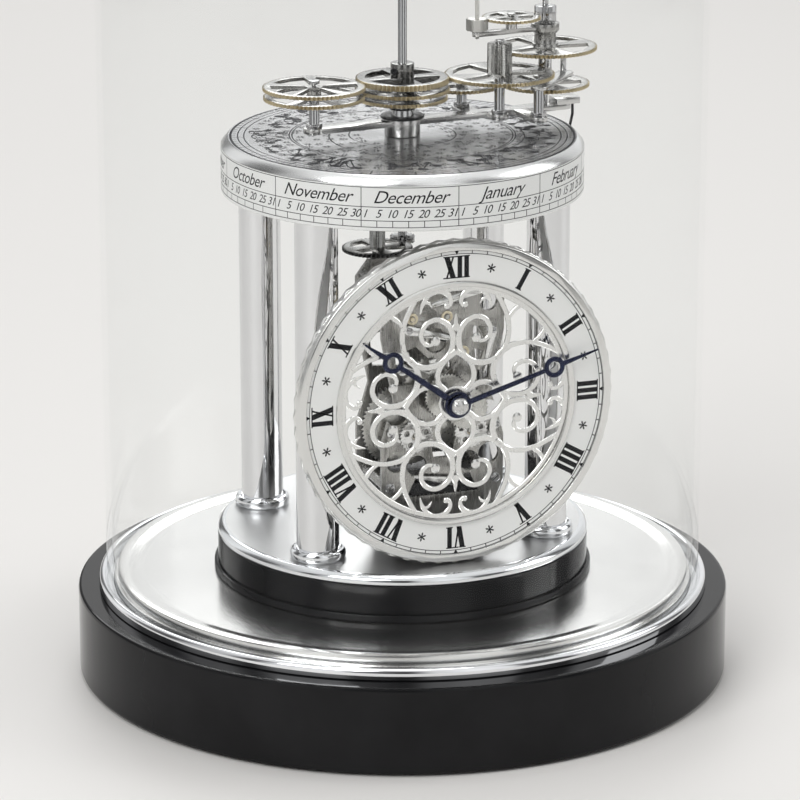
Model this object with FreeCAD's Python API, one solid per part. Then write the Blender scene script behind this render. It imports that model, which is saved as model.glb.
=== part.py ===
# Skeleton table clock with a calendar drum and a tellurion (sun, earth and moon) under a glass dome.
# Millimetres, +Z up. Origin: centre of the underside of the base. The dial faces -Y.
import FreeCAD, Part
import math
import os

os.makedirs("parts", exist_ok=True)
V = FreeCAD.Vector
UP = V(0, 0, 1)

# ------------------------------------------------ driving dimensions
# base, felt and dome
felt_thickness = 1.2
felt_radius = 132.0
felt_width = 14.0
base_radius = 140.0
base_height = 36.8
base_bevel = 1.2
ring_radius = 131.0
ring_height = 5.0
ring_wall = 2.9
ring_floor = 1.5
dome_wall = 2.6
dome_gap = 0.4
dome_seat_gap = 0.3
dome_straight = 252.6
tray_step_gap = 0.7
tray_step_height = 4.0
tray_rim_height = 8.0
tray_rim_inset = 1.6
tray_rim_land = 4.0
tray_cove_width = 5.0
tray_dish = 1.2

# pedestal and columns
plinth_radius = 81.2
plinth_height = 3.2
pedestal_radius = 79.6
pedestal_height = 12.8
plate_thickness = 4.0
plate_bevel = 1.8
column_radius = 9.0
column_height = 146.4
column_circle = 64.0
column_angle = 37.0
foot_radius = 11.7
foot_height = 4.6

# drum with the calendar band
drum_radius = 76.4
drum_floor_thickness = 2.4
band_height = 18.8
band_wall = 3.0
bevel_height = 3.8
bevel_width = 3.1
disc_thickness = 2.0
disc_gap = 0.05

# dial and hands, distances forward of the clock's axis
dial_foot_gap = 0.3
dial_face = 67.6
bezel_radius = 69.6
bezel_width = 4.3
bezel_depth = 5.0
bezel_lip = 1.0
bezel_rebate = 1.0
bezel_flutes = 60
bezel_flute_depth = 0.6
chapter_width = 15.2
chapter_thickness = 1.2
inner_ring_radius = 52.4
inner_ring_width = 2.5
inner_ring_thickness = 1.2
fret_thickness = 0.9
fret_line = 1.4
fret_gap = 0.05
fret_hub_radius = 5.6
fret_hub_hole = 3.4
fret_loop_radius = 7.0
fret_loop_place = 12.6
fret_scroll_radius = 11.4
fret_scroll_place = 11.9
fret_scroll_height = 28.0
fret_curl_radius = 7.6
fret_curl_place = 8.3
fret_end_radius = 4.2
fret_ball_radius = 1.7
fret_horn_place = 16.5
fret_cusp_radius = 3.5
fret_cusp_place = 4.6
fret_cusp_height = 45.4
hand_gap = 0.9
hand_thickness = 0.6
hand_spacing = 1.5
hand_ring_radius = 4.3
hand_ring_hole = 2.7
hour_hub_radius = 4.6
hour_reach = 49.9
hour_ring_place = 35.1
hour_angle = 306.1
minute_hub_radius = 3.9
minute_reach = 64.0
minute_ring_place = 43.8
minute_angle = 73.3
nut_radius = 3.8
nut_height = 3.4
pipe_radius = 2.2

# movement between two plates, behind the dial
seat_width = 41.0
seat_height = 31.2
plate_front = 50.5
movement_depth = 34.0
movement_plate = 2.0
movement_half_width = 27.0
movement_rise = 16.0
movement_height = 105.2
pillar_radius = 2.6
pillar_inset = 3.6
pillar_low_rise = 14.8
pillar_high_drop = 6.4
dial_post_radius = 1.6
dial_post_x = 20.0
dial_post_rise = 49.4
arbor_radius = 0.9
pivot_gap = 0.06
train_module = 0.55
great_module = 0.6
work_module = 0.5
gear_thickness = 1.2
barrel_radius = 14.5
barrel_length = 10.0
barrel_angle = 235.0
third_angle = 62.0
escape_angle = 115.0
escape_wheel_radius = 8.0
balance_radius = 10.5
balance_x = -13.5
balance_rise = 33.0
minute_wheel_angle = -35.0

# drive under the drum
transfer_angle = 217.5
transfer_drop = 23.2
transfer_pinion_length = 8.0
bracket_drop = 11.2
bracket_thickness = 3.0
bracket_width = 14.0
bracket_reach = 26.0

# tellurion
wheel_module = 0.6
backlash = 0.06
arm_angle = 5.0
arm_width = 8.0
arm_thickness = 2.2
arm_level = 4.5
arm_length = 74.4
earth_circle = 66.5
level_step = 3.6
level_first = 15.2
wheel_thickness = 1.5
top_wheel_thickness = 2.4
shaft_radius = 1.9
sleeve_wall = 1.1
tube_wall = 1.5
run_gap = 0.1
hub_radius = 7.5
hub_height = 7.2
hub_ring_radius = 9.3
hub_ring_thickness = 0.9
collar_radius = 5.0
collar_height = 6.0
post_radius = 2.2
post_nut_radius = 3.4
post_nut_height = 1.8
sun_radius = 12.5
sun_height = 94.0
globe_radius = 15.0
globe_height = 89.0
globe_tilt = 23.4
earth_shaft_radius = 1.3
earth_tube_wall = 1.5
bridge_thickness = 1.4
bridge_width = 7.0
bridge_gap = 1.7
bridge_post_circle = 54.0
bridge_post_gap = 1.96672
moon_wheel_gap = 10.0
moon_bar_thickness = 2.0
moon_bar_width = 4.4
moon_bar_level = 39.2
moon_arm_angle = 182.0
moon_radius = 4.2
moon_rod_radius = 0.9
pointer_block_length = 11.0
pointer_block_height = 2.8
pointer_radius = 0.6
pointer_reach = 1.6
pointer_arm_gap = 0.9
left_hub_modules = 20 / 3

# tooth counts
teeth_fixed = 62
teeth_idler = 56
teeth_second = 65
teeth_left_lower = 69
teeth_top = 64
teeth_left_upper = 70
teeth_moon_drive = 76
teeth_long_pinion = 16
teeth_moon_wheel = 72
teeth_sky_pinion = 14
teeth_sky_idler = 40
teeth_arbor_pinion = 16
teeth_transfer = 48
teeth_transfer_pinion = 10
teeth_cannon = 12
teeth_minute_wheel = 36
teeth_minute_pinion = 10
teeth_hour_wheel = 40
teeth_centre = 60
teeth_third_pinion = 10
teeth_third = 54
teeth_escape_pinion = 9
teeth_escape = 20
teeth_great = 60
teeth_centre_pinion = 10

# ------------------------------------------------ stacked levels, bottom to top
base_top = felt_thickness + base_height
tray_top = base_top + tray_rim_height
tray_floor = tray_top - tray_dish
plate_top = tray_floor + plinth_height + pedestal_height + plate_thickness
drum_bottom = plate_top + column_height
dial_height = plate_top + dial_foot_gap + bezel_radius
movement_bottom = plate_top + movement_rise
transfer_level = drum_bottom - transfer_drop
bracket_level = drum_bottom - bracket_drop
band_top = drum_bottom + band_height
drum_top = band_top + bevel_height
glass_radius = ring_radius - ring_wall - dome_gap
glass_bottom = base_top + ring_floor + dome_seat_gap
glass_inner = glass_radius - dome_wall
dome_spring = glass_bottom + dome_straight
tray_step_radius = glass_inner - tray_step_gap
arm_bottom = drum_top + arm_level
arm_top = arm_bottom + arm_thickness
level_a = drum_top + level_first
level_b = level_a + level_step
level_c = level_b + level_step
back_plate = plate_front - movement_depth


# ------------------------------------------------ helpers
def save(name, *solids):
    shape = solids[0] if len(solids) == 1 else Part.makeCompound(list(solids))
    shape.exportStep("parts/" + name + ".step")


def disc(radius, bottom, height, x=0.0, y=0.0):
    return Part.makeCylinder(radius, height, V(x, y, bottom), UP)


def ring(outer, inner, bottom, height, x=0.0, y=0.0):
    body = disc(outer, bottom, height, x, y)
    return body.cut(disc(inner, bottom - 1, height + 2, x, y))


def rod(radius, start, end):
    axis = end - start
    return Part.makeCylinder(radius, axis.Length, start, axis)


def turned(profile):
    """A solid of revolution about Z from (radius, height) corners."""
    points = [V(r, 0, z) for r, z in profile]
    face = Part.Face(Part.makePolygon(points + points[:1]))
    return face.revolve(V(0, 0, 0), UP, 360)


def plate(points, bottom, height):
    """A flat plate from a closed outline of (x, y) corners."""
    corners = [V(x, y, bottom) for x, y in points]
    face = Part.Face(Part.makePolygon(corners + corners[:1]))
    return face.extrude(V(0, 0, height))


def polar(radius, angle):
    return (radius * math.cos(math.radians(angle)), radius * math.sin(math.radians(angle)))


def capsule(start, end, width, bottom, height):
    """A flat bar with round ends between two points."""
    length = math.dist(start, end)
    turn = math.degrees(math.atan2(end[1] - start[1], end[0] - start[0]))
    bar = Part.makeBox(length, width, height, V(0, -width / 2, bottom))
    bar.rotate(V(0, 0, 0), UP, turn)
    bar.translate(V(start[0], start[1], 0))
    round_start = disc(width / 2, bottom, height, *start)
    round_end = disc(width / 2, bottom, height, *end)
    return bar.fuse([round_start, round_end]).removeSplitter()


def pitch_radius(teeth, module):
    return teeth * module / 2


def tip_radius(teeth, module):
    return pitch_radius(teeth, module) + 0.8 * module


def root_radius(teeth, module):
    return pitch_radius(teeth, module) - 1.1 * module


def centre_distance(teeth_one, teeth_two, module):
    return pitch_radius(teeth_one + teeth_two, module) + backlash


def toothed(teeth, module, phase, bottom, thickness):
    """A solid toothed disc about Z: pointed teeth between pointed roots."""
    pitch = 360.0 / teeth
    points = []
    for tooth in range(teeth):
        middle = phase + tooth * pitch
        points.append(polar(root_radius(teeth, module), middle - pitch / 2))
        points.append(polar(tip_radius(teeth, module), middle))
    return plate(points, bottom, thickness)


def window(inner, outer, start, sweep, bottom, height):
    """The opening between two spokes, with straight sides and rounded by the rim's arc."""
    steps = 3
    outer_points = [polar(outer, start + sweep * i / steps) for i in range(steps + 1)]
    lean = math.degrees(math.asin(min(0.9, outer * math.sin(math.radians(sweep / 2)) * 0.25 / inner)))
    centre = start + sweep / 2
    inner_points = [polar(inner, centre + lean), polar(inner, centre - lean)]
    return plate(outer_points + inner_points, bottom, height)


def wheel(teeth, module, phase, bottom, thickness, bore, hub, rim, spokes, spoke_sweep):
    """A crossed-out wheel: toothed rim, spokes and a bored hub."""
    body = toothed(teeth, module, phase, bottom, thickness)
    cuts = [disc(bore, bottom - 1, thickness + 2)]
    outer = root_radius(teeth, module) - rim
    for spoke in range(spokes):
        start = spoke * 360.0 / spokes + (360.0 / spokes - spoke_sweep) / 2
        cuts.append(window(hub, outer, start, spoke_sweep, bottom - 1, thickness + 2))
    return body.cut(cuts)


def meshed_phase(teeth_one, phase_one, direction, teeth_two):
    """The phase that puts a gap of the second wheel over a tooth of the first, along their centre line."""
    share = ((direction - phase_one) * teeth_one / 360.0) % 1.0
    return direction + 180.0 - (0.5 - share) * 360.0 / teeth_two


def moved(shape, x, y, z=0.0):
    shape.translate(V(x, y, z))
    return shape


# ------------------------------------------------ base
felt = ring(felt_radius, felt_radius - felt_width, 0, felt_thickness)
save("base_felt", felt)

base = turned([
    (0, felt_thickness),
    (base_radius - base_bevel, felt_thickness),
    (base_radius, felt_thickness + base_bevel),
    (base_radius, base_top - base_bevel),
    (base_radius - base_bevel, base_top),
    (0, base_top),
])
save("base_disc", base)

ring_inner = tray_step_radius + dome_seat_gap
ring_wall_inner = ring_radius - ring_wall
dome_ring = turned([
    (ring_inner, base_top),
    (ring_radius, base_top),
    (ring_radius, base_top + ring_height - 1.6),
    (ring_radius - 0.5, base_top + ring_height - 0.6),
    (ring_radius - 1.6, base_top + ring_height),
    (ring_wall_inner, base_top + ring_height),
    (ring_wall_inner, base_top + ring_floor),
    (ring_inner, base_top + ring_floor),
])
save("dome_ring", dome_ring)

tray_rim_radius = tray_step_radius - tray_rim_inset
tray_land_radius = tray_rim_radius - tray_rim_land
tray = turned([
    (0, base_top),
    (tray_step_radius, base_top),
    (tray_step_radius, base_top + tray_step_height),
    (tray_rim_radius, base_top + tray_step_height),
    (tray_rim_radius, tray_top - 0.6),
    (tray_rim_radius - 0.6, tray_top),
    (tray_land_radius, tray_top),
    (tray_land_radius - tray_cove_width, tray_floor),
    (0, tray_floor),
])
save("tray_disc", tray)

# ------------------------------------------------ glass dome, straight wall and round crown
outer_dome = disc(glass_radius, glass_bottom, dome_straight)
outer_dome = outer_dome.fuse(Part.makeSphere(glass_radius, V(0, 0, dome_spring), UP, 0, 90, 360))
inner_dome = disc(glass_inner, glass_bottom - 1, dome_straight + 1)
inner_dome = inner_dome.fuse(Part.makeSphere(glass_inner, V(0, 0, dome_spring), UP, 0, 90, 360))
dome = outer_dome.cut(inner_dome)
save("glass_dome", dome)

# ------------------------------------------------ pedestal
plinth_top = tray_floor + plinth_height
pedestal_top = plinth_top + pedestal_height
save("pedestal_plinth", disc(plinth_radius, tray_floor, plinth_height))
save("pedestal_drum", disc(pedestal_radius, plinth_top, pedestal_height))
top_plate = turned([
    (0, pedestal_top),
    (pedestal_radius, pedestal_top),
    (pedestal_radius, plate_top - plate_bevel),
    (pedestal_radius - plate_bevel, plate_top),
    (0, plate_top),
])
save("pedestal_plate", top_plate)

# ------------------------------------------------ four columns, each with a round foot
columns = []
feet = []
for angle in (column_angle, 180 - column_angle, 180 + column_angle, -column_angle):
    x, y = polar(column_circle, angle)
    columns.append(disc(column_radius, plate_top, column_height, x, y))
    foot = turned([
        (column_radius, plate_top),
        (foot_radius - 0.9, plate_top),
        (foot_radius, plate_top + foot_height * 0.28),
        (foot_radius, plate_top + foot_height * 0.66),
        (foot_radius - 1.0, plate_top + foot_height),
        (column_radius, plate_top + foot_height),
    ])
    feet.append(moved(foot, x, y))
save("columns", *columns)
save("column_feet", *feet)

# ------------------------------------------------ calendar drum
band_inner = drum_radius - band_wall
floor_top = drum_bottom + drum_floor_thickness
tube_inner = shaft_radius + run_gap + sleeve_wall + run_gap
tube_outer = tube_inner + tube_wall
drum_floor = ring(band_inner - disc_gap, tube_inner, drum_bottom, drum_floor_thickness)
save("drum_floor", drum_floor)
save("calendar_band", ring(drum_radius, band_inner, drum_bottom, band_height))
disc_radius = drum_radius - bevel_width
bevel_ring = turned([
    (disc_radius - 3.4, band_top),
    (drum_radius, band_top),
    (drum_radius, band_top + 0.4),
    (disc_radius, drum_top),
    (disc_radius - disc_gap, drum_top),
    (disc_radius - disc_gap, drum_top - disc_thickness),
    (disc_radius - 3.4, drum_top - disc_thickness),
])
save("drum_bevel", bevel_ring)
star_disc = ring(disc_radius - 2 * disc_gap, tube_outer, drum_top - disc_thickness, disc_thickness)
save("star_disc", star_disc)


# ------------------------------------------------ dial, drawn flat and then stood up to face -Y
def stood(shape, x=0.0, rise=0.0):
    """Turns a piece drawn in plan, with its front up, to face -Y about the dial's centre."""
    shape.rotate(V(0, 0, 0), V(1, 0, 0), 90)
    return moved(shape, x, 0, dial_height + rise)


bezel_inner = bezel_radius - bezel_width
chapter_radius = bezel_inner + bezel_rebate
chapter_face = dial_face - bezel_lip
chapter_back = chapter_face - chapter_thickness
chapter_inner = chapter_radius - chapter_width
bezel_back = dial_face - bezel_depth
fluted_depth = bezel_depth * 0.6
flute_points = []
for flute in range(bezel_flutes):
    step = 360.0 / bezel_flutes
    flute_points.append(polar(bezel_radius, flute * step))
    flute_points.append(polar(bezel_radius - bezel_flute_depth, (flute + 0.5) * step))
fluted = plate(flute_points, bezel_back, fluted_depth)
front_ring = turned([
    (0, bezel_back + fluted_depth),
    (bezel_radius - bezel_flute_depth, bezel_back + fluted_depth),
    (bezel_radius - 1.2, dial_face - 0.3),
    (bezel_radius - 2.0, dial_face),
    (0, dial_face),
])
bezel = fluted.fuse(front_ring)
bezel = bezel.cut([
    disc(chapter_radius + fret_gap, bezel_back - 1, bezel_depth + 1 - bezel_lip),
    disc(bezel_inner, bezel_back, bezel_depth + 1),
])
save("dial_bezel", stood(bezel))
save("chapter_ring", stood(ring(chapter_radius, chapter_inner, chapter_back, chapter_thickness)))
inner_ring_inner = inner_ring_radius - inner_ring_width
inner_ring = ring(inner_ring_radius, inner_ring_inner, chapter_face, inner_ring_thickness)
save("inner_ring", stood(inner_ring))


# ------------------------------------------------ open scrollwork of the dial
def line_loop(radius, x, y, sides, start, sweep):
    """An open or closed band of straight facets that follows an arc."""
    outer = []
    inner = []
    for step in range(sides + 1):
        angle = start + sweep * step / sides
        ox, oy = polar(radius + fret_line / 2, angle)
        ix, iy = polar(radius - fret_line / 2, angle)
        outer.append((x + ox, y + oy))
        inner.append((x + ix, y + iy))
    if abs(sweep) < 360:
        return plate(outer + inner[::-1], fret_bottom, fret_thickness)
    solid = plate(outer[:-1], fret_bottom, fret_thickness)
    return solid.cut(plate(inner[:-1], fret_bottom - 1, fret_thickness + 2))


fret_bottom = chapter_face - 1.2
fret_outer = chapter_inner - fret_gap
fret_reach = fret_outer - 0.8
horn_top = math.sqrt(fret_reach ** 2 - fret_horn_place ** 2)
horn_foot_place = fret_scroll_place + fret_scroll_radius * 0.92
horn_foot_height = fret_scroll_height + fret_scroll_radius * 0.45
fret_parts = [ring(fret_outer, inner_ring_inner - 0.4, fret_bottom, fret_thickness)]
for quarter in range(4):
    loops = [line_loop(fret_loop_radius, 0, fret_loop_place, 16, 0, 360)]
    for side in (-1, 1):
        loops.append(line_loop(fret_scroll_radius, side * fret_scroll_place, fret_scroll_height, 16, 0, 360))
        loops.append(line_loop(fret_curl_radius, side * fret_curl_place, fret_scroll_height, 8,
                               90 + side * 90, -side * 180))
        end_place = fret_curl_place + fret_curl_radius - fret_end_radius
        loops.append(line_loop(fret_end_radius, side * end_place, fret_scroll_height, 8,
                               90 - side * 90, -side * 205))
        ball_x, ball_y = polar(fret_end_radius, 155)
        loops.append(disc(fret_ball_radius, fret_bottom, fret_thickness,
                          side * (end_place + ball_x), fret_scroll_height + ball_y))
        loops.append(line_loop(fret_cusp_radius, side * fret_cusp_place, fret_cusp_height, 10, 0, 360))
        loops.append(capsule((side * horn_foot_place, horn_foot_height), (side * fret_horn_place, horn_top),
                             fret_line, fret_bottom, fret_thickness))
    for loop in loops:
        loop.rotate(V(0, 0, 0), UP, quarter * 90)
        fret_parts.append(loop)
fret_parts.append(disc(fret_hub_radius, fret_bottom, fret_thickness))
fretwork = fret_parts[0].fuse(fret_parts[1:])
fretwork = fretwork.cut(disc(fret_hub_hole, fret_bottom - 1, fret_thickness + 2))
save("dial_fretwork", stood(fretwork.removeSplitter()))


# ------------------------------------------------ hands
def hand(reach, ring_place, hub_radius_here, hole, half_width, bottom):
    """A slim tapered blade that points to twelve, with an open ring near its tip."""
    blade = plate([
        (-half_width, 0),
        (half_width, 0),
        (half_width * 0.7, ring_place - hand_ring_hole - 0.5),
        (-half_width * 0.7, ring_place - hand_ring_hole - 0.5),
    ], bottom, hand_thickness)
    tip = plate([
        (-half_width * 0.9, ring_place + hand_ring_hole + 0.5),
        (half_width * 0.9, ring_place + hand_ring_hole + 0.5),
        (0.12, reach),
        (-0.12, reach),
    ], bottom, hand_thickness)
    eye = ring(hand_ring_radius, hand_ring_hole, bottom, hand_thickness, 0, ring_place)
    hub = disc(hub_radius_here, bottom, hand_thickness)
    body = hub.fuse([blade, tip, eye])
    return body.cut(disc(hole, bottom - 1, hand_thickness + 2)).removeSplitter()


hour_level = dial_face + hand_gap
minute_level = hour_level + hand_spacing
hour_hand = hand(hour_reach, hour_ring_place, hour_hub_radius, pipe_radius, 1.15, hour_level)
hour_hand.rotate(V(0, 0, 0), UP, -hour_angle)
save("hour_hand", stood(hour_hand))
minute_hand = hand(minute_reach, minute_ring_place, minute_hub_radius, arbor_radius, 1.0, minute_level)
minute_hand.rotate(V(0, 0, 0), UP, -minute_angle)
save("minute_hand", stood(minute_hand))
nut_bottom = minute_level + hand_thickness
hand_nut = turned([
    (arbor_radius, nut_bottom),
    (nut_radius * 0.8, nut_bottom),
    (nut_radius, nut_bottom + nut_height * 0.25),
    (nut_radius * 0.86, nut_bottom + nut_height * 0.62),
    (nut_radius * 0.5, nut_bottom + nut_height * 0.9),
    (0, nut_bottom + nut_height),
    (0, nut_bottom + nut_height * 0.5),
    (arbor_radius, nut_bottom + nut_height * 0.5),
])
save("hand_nut", stood(hand_nut))

# ------------------------------------------------ movement: seat, plates, pillars and dial posts
plate_low = movement_bottom - dial_height
plate_high = plate_low + movement_height
front_plate_back = plate_front - movement_plate
back_plate_front = back_plate + movement_plate
seat_depth = front_plate_back - back_plate_front
seat = Part.makeBox(seat_width, seat_depth, seat_height, V(-seat_width / 2, -front_plate_back, plate_top))
save("movement_seat", seat)

third_x, third_y = polar(centre_distance(teeth_centre, teeth_third_pinion, train_module), third_angle)
escape_step = polar(centre_distance(teeth_third, teeth_escape_pinion, train_module), escape_angle)
escape_x = third_x + escape_step[0]
escape_y = third_y + escape_step[1]
great_distance = centre_distance(teeth_great, teeth_centre_pinion, great_module)
barrel_x, barrel_y = polar(great_distance, barrel_angle)
work_distance = centre_distance(teeth_cannon, teeth_minute_wheel, work_module)
minute_wheel_x, minute_wheel_y = polar(work_distance, minute_wheel_angle)
pivots = {
    "centre": (0.0, 0.0),
    "third": (third_x, third_y),
    "escape": (escape_x, escape_y),
    "going": (barrel_x, barrel_y),
    "strike": (-barrel_x, barrel_y),
    "balance": (balance_x, balance_rise),
}
half = movement_half_width
pillar_places = [
    (side * (half - pillar_inset), height)
    for side in (-1, 1)
    for height in (plate_low + pillar_low_rise, plate_high - pillar_high_drop)
]


def skeleton_plate(bottom, fork):
    """A pierced plate: a waisted outline with windows that leave the train open to view."""
    outline = [
        (-half * 0.78, plate_low),
        (half * 0.78, plate_low),
        (half, plate_low + 14),
        (half, plate_low + 34),
        (half * 0.8, plate_low + 52),
        (half, plate_high - 26),
        (half, plate_high - 7),
        (half * 0.8, plate_high),
        (-half * 0.8, plate_high),
        (-half, plate_high - 7),
        (-half, plate_high - 26),
        (-half * 0.8, plate_low + 52),
        (-half, plate_low + 34),
        (-half, plate_low + 14),
    ]
    body = plate(outline, bottom, movement_plate)
    cuts = []
    for x, y in pivots.values():
        cuts.append(disc(arbor_radius + pivot_gap, bottom - 1, movement_plate + 2, x, y))
    cuts.append(plate([(-6, fork), (9, fork), (16, fork + 10), (4, fork + 16), (-6, fork + 10)],
                      bottom - 1, movement_plate + 2))
    cuts.append(plate([(-20, 5), (-6, 4), (-5, 14), (-12, 21), (-21, 18)], bottom - 1, movement_plate + 2))
    cuts.append(plate([(14, 1), (20, 5), (22, 26), (13, 28), (14.5, 12)], bottom - 1, movement_plate + 2))
    cuts.append(plate([(-7, -12), (7, -12), (4, -28), (-4, -28)], bottom - 1, movement_plate + 2))
    cuts.append(plate([(-12, -36), (12, -36), (16, -44), (-16, -44)], bottom - 1, movement_plate + 2))
    return body.cut(cuts)


save("front_plate", stood(skeleton_plate(front_plate_back, 38)))
save("back_plate", stood(skeleton_plate(back_plate, 38)))
pillars = [disc(pillar_radius, back_plate_front, seat_depth, x, y) for x, y in pillar_places]
save("plate_pillars", *[stood(pillar) for pillar in pillars])
posts = []
for side in (-1, 1):
    for rise in (-dial_post_rise, dial_post_rise):
        post = disc(dial_post_radius, plate_front, chapter_back - plate_front, side * dial_post_x, rise)
        posts.append(stood(post))

# ------------------------------------------------ going train, front to back
gap_to_plate = 1.5
centre_wheel_level = front_plate_back - gap_to_plate - gear_thickness
third_wheel_level = centre_wheel_level - 4.5
great_wheel_level = back_plate_front + 1.5 + barrel_length + 3.5
strike_wheel_level = back_plate_front + 1.0
hole = arbor_radius
third_phase = meshed_phase(teeth_centre, 0.0, third_angle, teeth_third_pinion)
escape_phase = meshed_phase(teeth_third, 0.0, escape_angle, teeth_escape_pinion)
centre_pinion_phase = meshed_phase(teeth_great, 0.0, barrel_angle - 180.0, teeth_centre_pinion)
cannon_level = plate_front + 1.2
cannon_thickness = 2.0
minute_wheel_phase = meshed_phase(teeth_cannon, 0.0, minute_wheel_angle, teeth_minute_wheel)
hour_module = 2 * (work_distance - backlash) / (teeth_minute_pinion + teeth_hour_wheel)
hour_wheel_level = cannon_level + cannon_thickness + 1.0
hour_phase = meshed_phase(teeth_minute_pinion, 0.0, minute_wheel_angle + 180.0, teeth_hour_wheel)

arbor_back = back_plate - 1.5
centre_arbor = disc(arbor_radius, arbor_back, nut_bottom + nut_height * 0.5 - arbor_back)
centre_pinion = toothed(teeth_centre_pinion, great_module, centre_pinion_phase, great_wheel_level - 0.4,
                        gear_thickness + 0.8)
cannon_pinion = toothed(teeth_cannon, work_module, 0.0, cannon_level, cannon_thickness)
save("minute_arbor", stood(centre_arbor.fuse([centre_pinion, cannon_pinion])))
centre_wheel = wheel(teeth_centre, train_module, 0.0, centre_wheel_level, gear_thickness, hole,
                     3.6, 2.2, 4, 62)
save("centre_wheel", stood(centre_wheel))

hour_pipe_length = hour_level + hand_thickness - hour_wheel_level
hour_pipe = ring(pipe_radius, arbor_radius + run_gap, hour_wheel_level, hour_pipe_length)
hour_disc = toothed(teeth_hour_wheel, hour_module, hour_phase, hour_wheel_level, gear_thickness)
hour_disc = hour_disc.cut(disc(pipe_radius - 0.2, hour_wheel_level - 1, gear_thickness + 2))
save("hour_wheel", stood(hour_pipe.fuse(hour_disc)))

minute_wheel = toothed(teeth_minute_wheel, work_module, minute_wheel_phase, cannon_level + 0.4,
                       gear_thickness)
minute_pinion = toothed(teeth_minute_pinion, hour_module, 0.0, cannon_level + 0.4 + gear_thickness,
                        hour_wheel_level - cannon_level + 0.6)
minute_stud = disc(arbor_radius, plate_front, hour_wheel_level + gear_thickness + 1.2 - plate_front)
minute_work = moved(minute_wheel.fuse(minute_pinion).cut(disc(hole + run_gap, plate_front, 12)),
                    minute_wheel_x, minute_wheel_y)
save("minute_wheel", stood(minute_work))
posts.append(stood(moved(minute_stud, minute_wheel_x, minute_wheel_y)))
save("dial_posts", *posts)


def arbor(x, y, front_end, *fitted):
    """An arbor from behind the back plate to its front pivot, with the pieces fixed on it."""
    body = disc(arbor_radius, arbor_back, front_end - arbor_back)
    body = body.fuse(list(fitted)) if fitted else body
    return stood(moved(body, x, y))


pivot_end = plate_front + 0.6
third_pinion = toothed(teeth_third_pinion, train_module, third_phase, centre_wheel_level - 0.4,
                       gear_thickness + 0.8)
third_wheel = wheel(teeth_third, train_module, 0.0, third_wheel_level, gear_thickness, hole - 0.1,
                    3.2, 2.0, 5, 48)
save("third_wheel", arbor(third_x, third_y, pivot_end, third_pinion, third_wheel))
escape_pinion = toothed(teeth_escape_pinion, train_module, escape_phase, third_wheel_level - 0.4,
                        gear_thickness + 0.8)
escape_module = 2 * escape_wheel_radius / (teeth_escape + 1.6)
escape_wheel = toothed(teeth_escape, escape_module, 0.0, back_plate_front + 7.0, gear_thickness * 0.6)
save("escape_wheel", arbor(escape_x, escape_y, pivot_end, escape_pinion, escape_wheel))


def barrel(level, drum_length):
    """A mainspring barrel: a closed drum with its great wheel at the back and a raised lid boss."""
    great = toothed(teeth_great, great_module, 0.0, level, gear_thickness)
    drum = disc(barrel_radius, level + gear_thickness, drum_length - gear_thickness)
    return great.fuse([drum, disc(4.0, level + drum_length, 1.0)])


going_barrel = barrel(great_wheel_level, barrel_length)
save("going_barrel", arbor(barrel_x, barrel_y, pivot_end, going_barrel))
strike_barrel = barrel(strike_wheel_level, barrel_length)
save("strike_barrel", arbor(-barrel_x, barrel_y, pivot_end, strike_barrel))
balance_level = back_plate_front + 12.0
balance = ring(balance_radius, balance_radius - 1.8, balance_level, gear_thickness)
balance_arms = [
    capsule(polar(balance_radius - 1.2, turn), polar(balance_radius - 1.2, turn + 180), 1.5,
            balance_level + 0.1, gear_thickness - 0.2)
    for turn in (20, 110)
]
save("balance_wheel", arbor(balance_x, balance_rise, pivot_end, balance.fuse(balance_arms)))

# ------------------------------------------------ drive under the drum
transfer_distance = centre_distance(teeth_arbor_pinion, teeth_transfer, wheel_module)
transfer_x, transfer_y = polar(transfer_distance, transfer_angle)
transfer_phase = meshed_phase(teeth_arbor_pinion, 0.0, transfer_angle, teeth_transfer)
transfer_wheel = wheel(teeth_transfer, wheel_module, transfer_phase, transfer_level, wheel_thickness,
                       arbor_radius + run_gap, 4.2, 2.0, 4, 60)
transfer_pinion = toothed(teeth_transfer_pinion, wheel_module, 0.0, transfer_level + wheel_thickness,
                          transfer_pinion_length)
transfer_pinion = transfer_pinion.cut(disc(arbor_radius + run_gap, transfer_level, 20))
save("transfer_wheel", moved(transfer_wheel.fuse(transfer_pinion), transfer_x, transfer_y))
stud_bottom = transfer_level - 2.0
transfer_stud = disc(arbor_radius, stud_bottom, bracket_level - stud_bottom, transfer_x, transfer_y)
transfer_stud = transfer_stud.fuse(disc(2.2, stud_bottom, 2.0 - run_gap, transfer_x, transfer_y))
bracket_end = polar(bracket_reach, transfer_angle - 180.0)
bracket = capsule((transfer_x, transfer_y), bracket_end, bracket_width, bracket_level, bracket_thickness)
hanger_height = drum_bottom - bracket_level - bracket_thickness
for share in (-0.75, 0.8):
    x, y = polar(bracket_reach * share, transfer_angle - 180.0)
    bracket = bracket.fuse(disc(4.0, bracket_level + bracket_thickness, hanger_height, x, y))
bracket = bracket.cut(disc(shaft_radius + run_gap, bracket_level - 1, 20))
save("drive_bracket", bracket.removeSplitter(), transfer_stud)

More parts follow.
